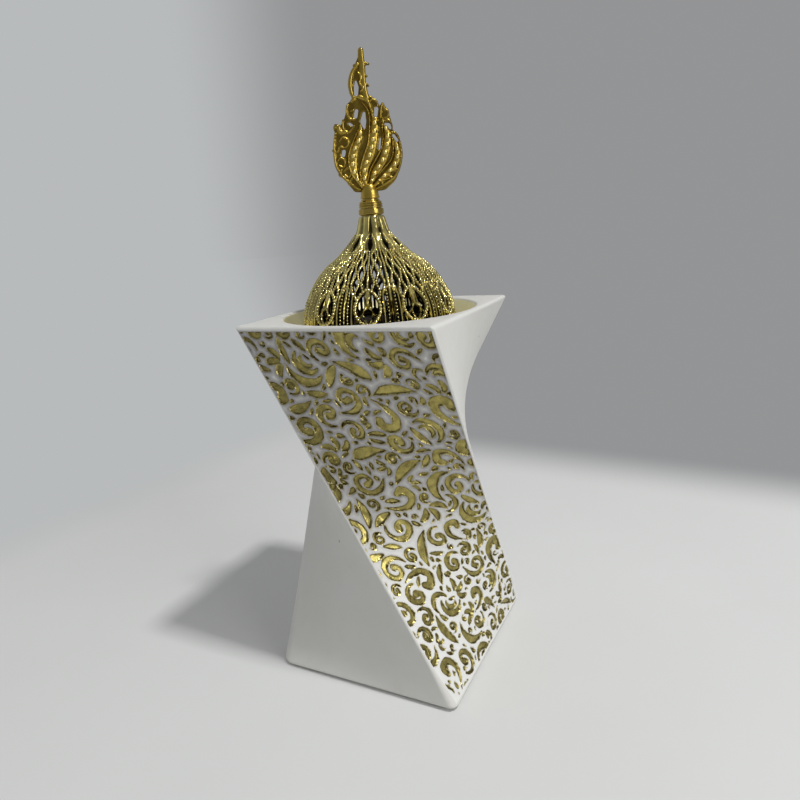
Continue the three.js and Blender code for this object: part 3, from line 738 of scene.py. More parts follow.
# %% Points on the edges
def follow_edges(u, v, field, targets, reach, probe, size=(1.0, 1.0)):
    """Slides places along the field's slope on to the nearest of the target values, where they
    are within reach of it: p' = p - (d - target) slope / |slope|^2. The slope is measured over
    the two steps of `probe`, and `size` says how many millimetres one unit of u and of v is."""
    (step_u, step_v), (size_u, size_v) = probe, size
    d = field(u, v)
    du = (field(u + step_u, v) - field(u - step_u, v)) / (2 * step_u * size_u)
    dv = (field(u, v + step_v) - field(u, v - step_v)) / (2 * step_v * size_v)
    steep = np.maximum(du ** 2 + dv ** 2, 0.25)
    goal = np.asarray(targets)[np.abs(d[..., None] - targets).argmin(-1)]
    off = np.where(np.abs(d - goal) < reach, d - goal, 0)
    return u - off * du / steep / size_u, v - off * dv / steep / size_v


on_edge = follow_edges(np.array([0.3]), np.array([0.0]), np.hypot, (0.0, 0.4), reach=0.2,
                       probe=(0.1, 0.1))
print("a point 0.3 mm out, slid to 0.4 mm:", np.round(np.hypot(*on_edge), 2))

# %% [markdown]
# Now the outside of the body can be laid out: rings from the foot to the rim, with the foot's and
# the rim's edges rounded over seven rings each. On the face with the scrollwork the points are slid
# on to the edges of the strokes and then moved inwards, along the way the face looks there.

# %% The outside of the body
ROWS, ROUND_ROWS = 350, 7
quarter = np.linspace(0, np.pi / 2, ROUND_ROWS)
rows_z = np.concatenate([
    FOOT_Z + FOOT_ROUND * (1 - np.cos(quarter)),
    np.linspace(FOOT_Z + FOOT_ROUND, HEIGHT - RIM_ROUND, ROWS + 2)[1:-1],
    HEIGHT - RIM_ROUND * (1 - np.sin(quarter)),
])
rows_inset = np.concatenate([
    FOOT_ROUND * (1 - np.sin(quarter)), np.zeros(ROWS), RIM_ROUND * (1 - np.cos(quarter))])
half, turn = level_square(rows_z)
outer = place_rings(
    square_ring(half - rows_inset, edge_round(rows_z), BULGE * rows_z / HEIGHT,
                EDGE + SOFTER * ease(rows_z, SOFTER_Z, 0)),
    turn, rows_z)
sunk = np.full(outer.shape[:2], NO_STROKE)
print("the outside has", len(outer), "rings")

# %% Sink the strokes
main = slice(ROUND_ROWS, ROUND_ROWS + ROWS)
z = np.repeat(rows_z[main, None], FANCY, 1)
side_end = level_square(z)[0] - edge_round(z)
u = across_fancy * side_end
inner = (np.abs(across_fancy) < 1) & np.ones_like(z, bool)
slid_u, slid_z = follow_edges(u, z, sunk_distance, (0.0, -WALL), reach=0.19, probe=(0.15, 0.15))
u, z = np.where(inner, slid_u, u), np.where(inner, slid_z, z)
depth_here = sunk_distance(u, z)
floor_wave = FLOOR_WAVE * np.sin(0.9 * u + 0.5 * np.sin(0.7 * z)) * np.sin(0.8 * z + 0.4 * u)
sink = ease(depth_here, 0.1, -WALL) * (DEPTH + floor_wave)
lip = LIP_RISE * bell(depth_here, LIP_PLACE, LIP_WIDTH)
sink = sink - lip * ease(np.abs(u), side_end - 0.1, side_end - 0.8) + SET_IN
sink = np.where(inner & (z > RELIEF_START) & (z < HEIGHT - RIM_BAND), sink, SET_IN)
sink *= ease(np.abs(u), side_end - 0.01, side_end - 0.6)
fancy = slice(fancy_first, fancy_first + FANCY)
outer[main, fancy] = face_point(u, z) - sink[..., None] * face_normal(u, z)
sunk[main, fancy] = depth_here
print("the face's grid:", z.shape, "points, sunk at most", round(float(sink.max()), 2), "mm")

# %% [markdown]
# A solid block of resin this thick could crack as it hardens, so the casting is hollow and open
# below, with a recess for the board. Booleans could cut the hollow and the well, but the skin is
# simpler as one run of rings: down the hollow, up the outside and down again into the well.
# The rings of the well are round, and their points stand at the same angles as the rim's.

# %% The well, the hollow and the whole skin
# radii and heights of the well and of the bore below it
WELL_MOUTH, WELL_FLOOR, WELL_Z, MOUTH_ROUND, BORE, BORE_Z = 42.0, 38.7, 151.6, 0.9, 27.9, 117.6
# the hollow's roof, how thick the casting is round it, then the board's recess
HOLLOW_Z, SHELL, HOLLOW_CORNER = 111.6, 7.0, 8.0
LEDGE_Z, BOARD_HALF, BOARD_CORNER = 3.8, 40.5, 4.0
rim_angle = np.arctan2(outer[-1, :, 1], outer[-1, :, 0])
on_rim = WELL_MOUTH + 3, HEIGHT
mouth = round_corner(on_rim, (WELL_MOUTH, HEIGHT), (WELL_FLOOR, WELL_Z), MOUTH_ROUND)
well = turn_profile(np.concatenate(
    [mouth, [[WELL_FLOOR, WELL_Z], [BORE, WELL_Z], [BORE, BORE_Z]]]), rim_angle)
hollow_z = np.linspace(HOLLOW_Z, LEDGE_Z, 12)
half, turn = level_square(hollow_z)
hollow = place_rings(square_ring(half - SHELL, HOLLOW_CORNER), turn, hollow_z)
recess = place_rings(square_ring([BOARD_HALF] * 2, BOARD_CORNER), [np.pi / 2] * 2,
                     [LEDGE_Z, FOOT_Z])
inside = np.concatenate([hollow, recess])  # from the hollow's roof down to the foot
points, faces = skin_rings(np.concatenate([inside, outer, well]))
sunk_all = np.full(len(points), NO_STROKE)
sunk_all[len(inside) * columns:][:sunk.size] = sunk.ravel()
resin_body = make_piece("resin_casting", points, faces, sharp=60, values={"sunk": sunk_all})

# %% [markdown]
# Cast resin is never one flat white: it is slightly warm, a little cloudy, dull with softer and
# glossier patches, and it has a few pinholes where air was caught. On the carved face a painted
# light makes it whiter towards the foot, and a painted shade greys it round the strokes, most of
# all near the rim.

# %% Resin
RESIN, RESIN_CLOUD, RESIN_SMEAR = (0.70, 0.695, 0.665), (0.66, 0.65, 0.61), (0.59, 0.575, 0.525)
FACE_PAINTED_LIGHT, FACE_PAINTED_SHADE, PINHOLE_SHADE = (0.80, 0.795, 0.765), (0.30, 0.29, 0.285), (0.3, 0.27, 0.22)
resin, tree, surface, place = start_material("cast_resin")
depth_value = node(tree, "Attribute", {"attribute_name": "sunk"}).outputs["Fac"]
clouds = noise(tree, place, 28, 5)
smears = noise(tree, place, 120, 4, 0.7)
height = node(tree, "SeparateXYZ", Vector=place).outputs["Z"]
white = blend(tree, remap(tree, clouds, 0.35, 0.7), RESIN, RESIN_CLOUD)
white = blend(tree, remap(tree, smears, 0.58, 0.8, 0, 0.35), white, RESIN_SMEAR)
on_face = remap(tree, depth_value, NO_STROKE - 0.05, NO_STROKE - 0.4)
# painted light: the carved face is whiter towards the foot, where more light falls on it
painted_light = combine(tree, "MULTIPLY", on_face, remap(tree, height, 0.095, 0.045))
white = blend(tree, painted_light, white, FACE_PAINTED_LIGHT)
# painted shade: the white is greyed round the strokes, most of all towards the rim
painted_shade = combine(tree, "MULTIPLY", remap(tree, depth_value, 1.5, 0.1, 0.45, 1.0),
                  remap(tree, height, 0.05, 0.1, 0.1, 1.0), on_face)
white = blend(tree, painted_shade, white, FACE_PAINTED_SHADE)
cells = node(tree, "TexVoronoi", Vector=place, Scale=150.0)
chance = node(tree, "SeparateColor", Color=cells.outputs["Color"]).outputs["Red"]
pit = combine(tree, "MULTIPLY", remap(tree, cells.outputs["Distance"], 0.11, 0.05),
              remap(tree, chance, 0.88, 0.9))
# painted shade: each pinhole is darker, for the shade inside a pit whose depth is only a bump
white = blend(tree, pit, white, PINHOLE_SHADE)
print("plain resin:", len(tree.nodes), "nodes")

# %% [markdown]
# The gilding in the strokes is a thin metal paint. It could be a second material on faces of its
# own, but its edge would then follow the faces. So the same surface turns metallic where the point
# value `sunk`, made a little ragged, says that a place is below the edge. The gold is uneven in
# tone and slightly hammered, a painted shade darkens it in the corners by the walls, and a painted
# highlight brightens it along its edge.

# %% Gilding
GILT, GILT_DULL = (0.47, 0.40, 0.13), (0.20, 0.165, 0.055)
GILT_SHADE, GILT_HIGHLIGHT = (0.085, 0.068, 0.03), (0.66, 0.57, 0.24)
brushed = noise(tree, place, 420, 3)
ragged = combine(tree, "ADD", depth_value, remap(tree, brushed, 0.3, 0.7, -0.28, 0.2))
gilded = remap(tree, ragged, 0.06, -0.1)
tone = noise(tree, place, 260, 4)
gold = blend(tree, remap(tree, tone, 0.35, 0.7), GILT, GILT_DULL)
# painted shade: the gold is darker near the walls of each stroke
gilt_corner_shade = combine(tree, "ADD", depth_value, remap(tree, smears, 0.3, 0.7, -0.55, 0.55))
gold = blend(tree, remap(tree, gilt_corner_shade, -0.1, -0.75, 0.15, 1.0), GILT_SHADE, gold)
# painted highlight: the gold is brighter along its edge, where the wall of the stroke catches light
gold = blend(tree, remap(tree, ragged, -0.3, -0.12, 0, 0.6), gold, GILT_HIGHLIGHT)
connect(tree, surface, Base_Color=blend(tree, gilded, white, gold), Metallic=gilded)
rough = node(tree, "Mix", {"data_type": "FLOAT"}, Factor=gilded)
feed(tree, rough.inputs[2], remap(tree, smears, 0.3, 0.7, 0.5, 0.66))
feed(tree, rough.inputs[3], remap(tree, brushed, 0.35, 0.68, 0.2, 0.46))
grain = bump(tree, noise(tree, place, 1400, 2), 0.035, 0.5)
grain = bump(tree, combine(tree, "SUBTRACT", 1.0, pit), 0.35, 1.0, grain)
dents = combine(tree, "MULTIPLY", noise(tree, place, 480, 2), gilded)
connect(tree, surface, Roughness=rough.outputs[0], Normal=bump(tree, dents, 0.28, 0.8, grain))
print("resin and gilding:", len(tree.nodes), "nodes")
resin_body.data.materials.append(resin)
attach(resin_body, "body")
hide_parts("resin_body")

# %% [markdown]
# The dome is a casting too: a lace of upright strands with rows of beads on them, which comes
# ten times round. Hundreds of openings cut with booleans would be slow and would leave ragged
# faces, so the lace is drawn flat and laid on the dome's curve, which runs from the wide foot to
# the slim neck. It is drawn in two numbers: the share `a` of one repeat round the axis, 0 on a
# medallion's middle and a half between two, and the share `t` of the way up. One medallion looks
# seven degrees to the left of the camera.

# %% The dome's curve
DOME_R, DOME_H, DOME_Z, REPEATS = 32.8, 46.3, 153.0, 10
DOME_TURN = np.radians(27 - 90 - 7)
PROFILE = np.array([
    [1, 0], [0.995, 0.07], [0.978, 0.17], [0.945, 0.25], [0.885, 0.325], [0.815, 0.405],
    [0.66, 0.545], [0.505, 0.652], [0.37, 0.735], [0.278, 0.803], [0.222, 0.86], [0.192, 0.925],
    [0.165, 1],
])


def length_run(line):
    """The length run along a line up to each of its points."""
    return np.concatenate([[0], np.cumsum(np.linalg.norm(np.diff(line, axis=0), axis=1))])


fine = smooth_line(PROFILE * [DOME_R, DOME_H] + [0, DOME_Z], 1200)
length = length_run(fine)
DOME_LENGTH = length[-1]


def dome_curve(t):
    """Radius and height at share t of the curve's length, and the outward way there."""
    t = np.clip(t, 0, 1) * DOME_LENGTH
    r, z = np.interp(t, length, fine[:, 0]), np.interp(t, length, fine[:, 1])
    dr = np.interp(t, length, np.gradient(fine[:, 0], length))
    dz = np.interp(t, length, np.gradient(fine[:, 1], length))
    return r, z, dz, -dr


def repeat_width(t):
    """How wide one repeat is at share t, in millimetres."""
    return 2 * np.pi * dome_curve(t)[0] / REPEATS


print("the dome's curve is", round(DOME_LENGTH, 1), "mm long")

# %% [markdown]
# A repeat holds a medallion with a leaf in it, straight strands beside it, and above these a net of
# strands that sway against each other up to the neck, where one long slot stands over each leaf.

# %% The lace of one repeat
def upright(a, start, end, sway):
    """Knots of an upright strand, a + sway sin(2 pi (t - 0.36) / 0.17), from start to end. Two
    neighbours sway against each other, so that they touch and part by turns."""
    t = np.linspace(start, end, 24)
    calm = ease(t, 0.72, 0.64)
    return np.stack([a + sway * calm * np.sin(2 * np.pi * (t - 0.36) / 0.17), t], 1).tolist()


# half of one repeat: knots as (a, t), half width in mm, and the pitch of the beads, 0 for none
STRANDS = [
    ([(0, 0.09), (0.14, 0.112), (0.25, 0.175), (0.25, 0.25), (0.15, 0.315), (0, 0.352)], 0.72, 1.3),
    ([(0, 0.345), (0.06, 0.29), (0.062, 0.22), (0.12, 0.165), (0.21, 0.145)], 0.42, 0),
    ([(0.335, 0.07), (0.335, 0.28), (0.365, 0.335), (0.43, 0.362), (0.5, 0.368)], 0.6, 0),
    ([(0.5, 0.07), (0.5, 0.36)], 0.56, 0),
    ([(0.418, 0.07), (0.418, 0.345)], 0.4, 1.35),
    ([(0.235, 0.06), (0.24, 0.13)], 0.4, 0),
    ([(0, 0.095), (0.075, 0.135), (0.085, 0.185), (0, 0.225)], 0.4, 0),
    (upright(0, 0.352, 0.71, 0), 0.52, 1.25),
    (upright(0.125, 0.33, 0.71, 0.033), 0.54, 1.2),
    (upright(0.25, 0.27, 0.71, -0.033), 0.54, 1.2),
    (upright(0.375, 0.345, 0.71, 0.033), 0.54, 1.2),
    (upright(0.5, 0.37, 0.71, 0), 0.52, 1.25),
    ([(0.14, 0.69), (0.3, 0.73), (0.32, 0.79), (0.14, 0.865)], 0.75, 1.0),
    ([(0.5, 0.70), (0.5, 0.80)], 0.6, 1.0),
]
LEAF = [(0, 0.345), (0, 0.28), (0, 0.2)], [0.25, 0.95, 0.3]
NECK_SLOT = [(0, 0.705), (0, 0.77), (0, 0.855)], [0.3, 1.25, 0.3]
FOOT_SHARE, NECK_SHARE = 0.072, 0.705
# how far ropes, the foot's rolled edge, and the solid foot and neck stand out
ROPE_RISE, ROLL_RISE, SOLID_RISE = 0.8, 0.85, 0.35
# how far the outer sheet lies inside the curve, how far the inner sheet lies inside the outer
# one, and how far out the beads' middles are
SHEET_IN, SHEET_THICK, BEAD_RISE = 0.75, 0.75, 0.78
# how far the neck's flutes stand out and half their width, in mm
FLUTE_RISE, FLUTE_REACH = 0.62, 1.5
# where the shoulder swells and where it is drawn in: by how much, at which share and how widely
SWELL, SWELL_AT, SWELL_SPAN = 0.6, 0.42, 0.16
DRAWN_IN, DRAWN_AT, DRAWN_SPAN = 0.55, 0.64, 0.09
print(len(STRANDS), "kinds of strand in half a repeat")

# %% [markdown]
# Each place on the lace needs two numbers: how far it lies from the edge of the metal, and how far
# the outside stands proud there. Both come from the nearest strand. Only half of a repeat is drawn,
# and mirror images of the strands supply the rest, as a pattern cutter would do it.

# %% Metal or opening
def both_sides(line):
    """A line and its mirror image in the medallion's middle, also from the repeats beside it."""
    a, t = np.asarray(line).T
    return [np.stack([sign * a + shift, t], 1) for shift in (-1, 0, 1) for sign in (-1, 1)]


def thinner(t):
    """Strands get thinner towards the neck, where a repeat is narrow: its width over 12 mm, and
    never less than 0.55."""
    return np.clip(repeat_width(t) / 12, 0.55, 1)


def along(widths, count):
    """Half widths spread evenly along a line of `count` points."""
    widths = np.atleast_1d(widths)
    return np.interp(np.linspace(0, 1, count), np.linspace(0, 1, len(widths)), widths)


def nearest_stroke(a, t, knots, widths, count=16):
    """Distance to a stroke's edge, the stroke and its mirror images taken together."""
    scale = repeat_width(t), DOME_LENGTH
    return np.minimum.reduce([stroke_field(a, t, line, along(widths, count), *scale)[0]
                              for line in both_sides(smooth_line(knots, count))])


def dome_fields(a, t):
    """Distance to the metal's edge, below 0 in metal, and how far the outside stands proud. A
    strand is a flattened half circle across, rise x sqrt(1 - (d / half width)^2). Foot and neck
    are solid, but for the ten long slots of the neck, and the neck is fluted."""
    edge = np.minimum((t - FOOT_SHARE), (NECK_SHARE - t)) * DOME_LENGTH
    flute = ease(t, 0.79, 0.87) * ease(t, 1.0, 0.985)
    from_flute = (0.5 - np.abs((a + 0.5) % 1 - 0.5)) * repeat_width(t)
    flute = flute * (half_round(from_flute / FLUTE_REACH) - 0.4)
    rise = SOLID_RISE * (edge < 0) + FLUTE_RISE * flute
    rise = np.maximum(rise, ROLL_RISE * ease(t, 0.052, 0.045))
    for knots, half_width, _ in STRANDS:
        half_width = half_width * thinner(t)
        away = nearest_stroke(a, t, knots, 0.0, 40)
        edge = np.minimum(edge, away - half_width)
        rise = np.maximum(rise, ROPE_RISE * half_round(away / half_width))
    leaf_edge = nearest_stroke(a, t, *LEAF)
    rise = np.maximum(rise, ROPE_RISE * ease(leaf_edge, 0.0, -0.5))
    slot = nearest_stroke(a, t, *NECK_SLOT)
    return np.maximum(np.minimum(edge, leaf_edge), -slot), rise


print("on a medallion's middle, distance and rise are", *np.round(
    [value[0] for value in dome_fields(np.array([0.0]), np.array([0.25]))], 2))


# %% On to the dome
def dome_angle(a):
    """The angle round the axis that belongs to a repeat's share a."""
    return DOME_TURN + 2 * np.pi * a / REPEATS


def dome_surface(a, t, offset):
    """Places on the curve, moved out by `offset` and carried round: the radius is r + offset x
    outward and the height z + offset x upward. Everything lies SHEET_IN inside the curve, but the
    shoulder swells a little, and above it the curve is drawn in as much."""
    r, z, out_r, out_z = dome_curve(t)
    offset = offset - SHEET_IN + SWELL * bell(t, SWELL_AT, SWELL_SPAN)
    offset = offset - DRAWN_IN * bell(t, DRAWN_AT, DRAWN_SPAN)
    height = np.clip(z + offset * out_z, DOME_Z, DOME_Z + DOME_H)
    return polar(r + offset * out_r, dome_angle(a), height)


print("the middle of a medallion's foot is at", np.round(dome_surface(0.0, 0.0, 0.0), 1))

# %% [markdown]
# A Solidify modifier would give the lace its thickness, but its inside would copy every rope. So
# the shell is built from two sheets that share one grid, the outside with its relief and a smooth
# inside. A face is left out where it lies in an opening, and the two sheets are joined by a wall
# along every edge that is left without a neighbour.

# %% A pierced shell from two sheets
def pierced_shell(front, back, keep, wrap):
    """Points and faces of the closed shell between two grids of rows x columns x 3, and which of
    the grids' points it uses. `keep` says which points belong to it, and faces with three of them
    become triangles."""
    rows, columns = keep.shape
    quads = grid_faces(rows, columns, False, wrap)
    inside = keep.ravel()[quads]
    whole = quads[inside.all(1)]
    three = inside.sum(1) == 3
    thirds = np.concatenate([
        quads[three & ~inside[:, k]][:, [(k + 1) % 4, (k + 2) % 4, (k + 3) % 4]] for k in range(4)])
    total = rows * columns
    starts = np.concatenate([whole.ravel(), thirds.ravel()])
    ends = np.concatenate([np.roll(whole, -1, 1).ravel(), np.roll(thirds, -1, 1).ravel()])
    lone = ~np.isin(starts.astype(np.int64) * total + ends, ends.astype(np.int64) * total + starts)
    a, b = starts[lone], ends[lone]
    walls = np.stack([b, a, a + total, b + total], -1)
    groups = [whole, thirds, whole[:, ::-1] + total, thirds[:, ::-1] + total, walls]
    points = np.concatenate([front.reshape(-1, 3), back.reshape(-1, 3)])
    used = np.unique(np.concatenate([group.ravel() for group in groups]))
    faces = [face for group in groups for face in np.searchsorted(used, group).tolist()]
    return points[used], faces, used


def join(first, second):
    """Two shapes, each given as points and faces, as one."""
    (points, faces), (more_points, more_faces) = first, second
    shifted = [[number + len(points) for number in face] for face in more_faces]
    return np.concatenate([points, more_points]), faces + shifted


def lace_edge(a, t):
    """The first of the lace's two numbers, the distance to the metal's edge."""
    return dome_fields(a, t)[0]


print("half way up, a repeat is", round(float(repeat_width(0.5)), 1), "mm wide")

# %% [markdown]
# The points of one repeat are slid on to the edges of its openings. Then ten repeats are set side
# by side and laid on the curve, as an outer sheet with its ropes and a plain inner one. A plug with
# a bore fills the neck, and the screw that holds the finial goes through it.

# %% The dome lid
# points round one repeat and up the curve, and how far outside an edge a point is still metal
COLUMNS, DOME_ROWS, DOME_SLACK = 52, 108, 0.04
t, a = np.meshgrid(np.linspace(0, 1, DOME_ROWS),
                   np.arange(COLUMNS) / COLUMNS - 0.5, indexing="ij")
for _ in range(2):
    width = repeat_width(t)
    reach = np.where((t > 0) & (t < 1), 0.5 * width / COLUMNS + 0.02, 0)
    a, t = follow_edges(a, t, lace_edge, (0.0,), reach, probe=(0.008, 0.002),
                        size=(width, DOME_LENGTH))
edge_one, rise_one = dome_fields(a, t)
keep, rise, t = (np.tile(array, (1, REPEATS)) for array in (edge_one < DOME_SLACK, rise_one, t))
a = np.concatenate([a + number for number in range(REPEATS)], 1)
points, faces, used = pierced_shell(dome_surface(a, t, rise),
                                    dome_surface(a, t, -SHEET_THICK + 0 * t), keep, True)
relief = np.concatenate([rise.ravel(), np.zeros(rise.size)])[used]
plug = skin_rings(turn_profile(
    [[1.8, 194.3], [4.6, 194.3], [3.9, 199.3], [1.8, 199.3]], full_turn(48)), wrap_rows=True)
dome = make_piece("pierced_dome", *join((points, faces), plug), sharp=55,
                  values={"relief": np.concatenate([relief, np.zeros(len(plug[0]))])})

# %% [markdown]
# The beads are small domes that sit in rows on the strands. They all have one shape, so one bead
# of two rings and two tips is worked out and then set down more than two thousand times, each time
# along the three directions of its own place: round the dome, up its curve and straight out of it.
# Instances would be lighter, but one plain mesh is what every other program can read.

# %% The places of the beads
BEAD_FILL = 0.98  # the share of a strand's half width that is a bead's radius


def bead_places(knots, half_width, pitch):
    """Where beads sit on a strand, as (a, t), and their radius: points at even steps of the
    length that is run along the strand. A strand on a mirror line has no twin."""
    line = smooth_line(knots, 120)
    on_axis = np.ptp(line[:, 0]) == 0 and line[0, 0] % 0.5 == 0
    width = repeat_width(line[:, 1])
    run = np.concatenate([[0], np.cumsum(np.hypot(
        np.diff(line[:, 0]) * width[1:], np.diff(line[:, 1]) * DOME_LENGTH))])
    count = max(int(run[-1] / pitch), 1)
    stops = (np.arange(count) + 0.5) * run[-1] / count
    a, t = (np.interp(stops, run, line[:, k]) for k in (0, 1))
    if not on_axis:
        a, t = np.concatenate([a, -a]), np.concatenate([t, t])
    return np.stack([a, t, BEAD_FILL * half_width * thinner(t)], 1)


rows = [bead_places(*strand) for strand in STRANDS if strand[2]]
FOOT_BEADS, FOOT_BEADS_SHARE, FOOT_BEAD_SIZE = 14, 0.06, 0.5
foot_beads = np.arange(FOOT_BEADS) / FOOT_BEADS - 0.5
rows.append(np.stack([foot_beads, 0 * foot_beads + FOOT_BEADS_SHARE,
                      0 * foot_beads + FOOT_BEAD_SIZE], 1))
spots = np.concatenate(rows)
spots = np.concatenate([spots + [number, 0, 0] for number in range(REPEATS)])
print(len(spots), "beads, with radii up to", round(float(spots[:, 2].max()), 2), "mm")

# %% The beads
a, t, size = spots.T
_, _, out_r, out_z = dome_curve(t)
c, s = np.cos(dome_angle(a)), np.sin(dome_angle(a))
across = np.stack([-s, c, 0 * c], 1)
up = np.stack([-out_z * c, -out_z * s, out_r], 1)
outward = np.stack([out_r * c, out_r * s, out_z], 1)
# a bead of radius 1: two rings, the tip and the middle of its foot, and the value that gives each
# point painted shade or a painted highlight, darkest at the foot and brightest at the tip
SIDES = 7
turn = full_turn(SIDES)
bead = np.concatenate([polar(1.0, turn, -0.5), polar(0.78, turn, 0.45),
                       [[0, 0, 0.85], [0, 0, -0.5]]])
bead_shade_and_highlight = [0.05] * SIDES + [0.75] * SIDES + [1.3, 0.05]
bead_faces = [[k, (k + 1) % SIDES, SIDES + (k + 1) % SIDES, SIDES + k] for k in range(SIDES)]
bead_faces += [[SIDES + k, SIDES + (k + 1) % SIDES, 2 * SIDES] for k in range(SIDES)]
bead_faces += [[(k + 1) % SIDES, k, 2 * SIDES + 1] for k in range(SIDES)]
grown = bead[None] * size[:, None, None]
points = dome_surface(a, t, BEAD_RISE + 0 * t)[:, None] + (
    grown[..., :1] * across[:, None] + grown[..., 1:2] * up[:, None]
    + grown[..., 2:] * outward[:, None])
faces = [[number + len(bead) * index for number in face] for index in range(len(spots))
         for face in bead_faces]
beads = make_piece("dome_beads", points.reshape(-1, 3), faces, sharp=70,
                   values={"relief": np.tile(bead_shade_and_highlight, len(spots))})

# %% [markdown]
# The dome is plated in a pale, slightly green gold and polished. Its colour carries painted
# light: a painted shade darkens it down between the ropes and on the inside of the shell, and a
# painted highlight brightens what stands up most. Blender can guess at raised edges from the shape
# of a mesh, but here the mesh carries the exact value `relief`, and the colour follows that. A
# faint waviness of the casting breaks up the reflections.

# %% Plated gold
def plated_gold(name, high, low, highlight_colour, shine, waviness, top):
    """Metal whose colour goes from `low`, a painted shade, in the hollows to `high` at the value
    `top` of the relief, and to a painted highlight colour on what stands up further. Its roughness
    wanders between the two numbers of `shine`, over a wavy casting."""
    material, tree, surface, place = start_material(name)
    relief = node(tree, "Attribute", {"attribute_name": "relief"}).outputs["Fac"]
    cloudy = remap(tree, noise(tree, place, 220, 4), 0.3, 0.7, -0.25, 0.25)
    # painted shade: the lower the relief, the darker, down to `low` in the hollows and on the
    # inside; painted highlight: the brightest colour on what stands up most
    colour = blend(tree, combine(tree, "ADD", remap(tree, relief, 0.0, top), cloudy), low, high)
    colour = blend(tree, remap(tree, relief, top, top + 0.5), colour, highlight_colour)
    specks = remap(tree, noise(tree, place, 1500, 2), 0.62, 0.78, 0, 0.6)
    colour = blend(tree, specks, colour, tuple(0.45 * c for c in low))
    connect(tree, surface, Base_Color=colour, Metallic=1.0,
            Roughness=remap(tree, noise(tree, place, 300, 3), 0.3, 0.7, *shine),
            Normal=bump(tree, noise(tree, place, 620, 2), waviness, 0.8))
    print(name, "-", len(tree.nodes), "nodes")
    return material


# the dark colour is a painted shade for the hollows, and the last, bright one a painted highlight
# on the tops of ropes and beads
dome_gold = plated_gold("dome_gold", high=(0.68, 0.58, 0.21), low=(0.05, 0.036, 0.012),
                        highlight_colour=(0.94, 0.86, 0.46), shine=(0.1, 0.22), waviness=0.12, top=0.8)
for piece in (dome, beads):
    piece.data.materials.append(dome_gold)
    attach(piece, "lid")
    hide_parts("dome_lid")

# %% [markdown]
# The flame is a flat casting: a plate with a notched outline, on which four plump ribs, each with
# a raised edge and a row of beads, sweep up from the stem in an S. Lobes and little curls stand
# up between them and the outline, and a few openings go right through. It could be sculpted by
# hand, but ribs, curls, edges and openings are all strokes again, so the dome's way serves here
# too. The thickness at a place is that of the stroke that stands up most there. Its colour paints
# shade into the hollows and a highlight on what stands up most, such as those edges and beads.

# %% The flame's sizes and outline
FLAME_SIZE, FLAME_Z, FLAME_TOP = [28.0, 54.0], 209.0, 263.0
# its turn, and its lean as a share of the height above a point so many mm below its foot
FLAME_TURN, FLAME_LEAN, LEAN_BELOW = np.radians(27), 0.02, 8
# half thickness of the plate, and how much a rib and its beads add to that
PLATE, RIB_RISE, RIB_BEAD_RISE = 0.8, 0.8, 0.75
# pitch and radius of those beads, and half width of the narrowest place that has any
RIB_BEAD_PITCH, RIB_BEAD_SIZE, RIB_BEAD_FROM = 3.1, 0.95, 0.9
# the share of its thickness that the flame keeps at an edge, how far in it is whole again, and the
# share of its width that a wire keeps at both ends
THIN_EDGE, THIN_REACH, WIRE_END = 0.6, 0.35, 0.8
# from the foot, up the right edge and down the left one, as shares of the flame's size
FLAME_OUTLINE = [
    [0.18, 0], [0.29, 0.026], [0.4, 0.078], [0.465, 0.165], [0.505, 0.255], [0.478, 0.355],
    [0.39, 0.425], [0.378, 0.475], [0.345, 0.535], [0.285, 0.6], [0.2, 0.606], [0.15, 0.65],
    [0.065, 0.685], [0.05, 0.745], [0.035, 0.82], [0.045, 0.872], [0.09, 0.888], [0.036, 0.912],
    [0.02, 0.957], [0, 1], [-0.03, 0.957], [-0.078, 0.906], [-0.163, 0.837], [-0.213, 0.766],
    [-0.202, 0.7], [-0.172, 0.658], [-0.258, 0.618], [-0.272, 0.57], [-0.308, 0.523],
    [-0.365, 0.485], [-0.44, 0.496], [-0.467, 0.46], [-0.44, 0.42], [-0.473, 0.346],
    [-0.492, 0.255], [-0.472, 0.195], [-0.42, 0.142], [-0.34, 0.085], [-0.26, 0.03], [-0.18, 0],
]
print("the outline is drawn with", len(FLAME_OUTLINE), "corners")

# %% Ribs, wires and openings
# knots as shares of the flame's size, then half widths in mm along the stroke
RIBS = [
    ([(-0.07, 0.485), (-0.083, 0.41), (-0.121, 0.354), (-0.173, 0.311), (-0.202, 0.265),
      (-0.22, 0.211), (-0.215, 0.158), (-0.175, 0.1), (-0.1, 0.03)],
     [0.5, 1.2, 1.5, 1.7, 1.8, 1.85, 1.7, 1.2, 0.6]),
    ([(0.075, 0.6), (0.12, 0.54), (0.136, 0.498), (0.125, 0.436), (0.1, 0.374), (0.07, 0.311),
      (0.031, 0.256), (-0.014, 0.216), (-0.052, 0.167), (-0.061, 0.116), (-0.059, 0.036)],
     [0.3, 0.9, 1.3, 1.6, 1.8, 1.9, 2.0, 2.0, 1.8, 1.4, 0.7]),
    ([(0.24, 0.50), (0.28, 0.451), (0.31, 0.394), (0.297, 0.32), (0.262, 0.269), (0.222, 0.22),
      (0.155, 0.171), (0.089, 0.125), (0.017, 0.047)],
     [0.35, 0.9, 1.3, 1.6, 1.8, 1.8, 1.7, 1.5, 0.7]),
    ([(0.37, 0.41), (0.415, 0.343), (0.44, 0.265), (0.42, 0.21), (0.376, 0.171), (0.328, 0.145),
      (0.249, 0.111), (0.074, 0.038)],
     [0.3, 0.8, 1.2, 1.4, 1.5, 1.4, 1.2, 0.7]),
]
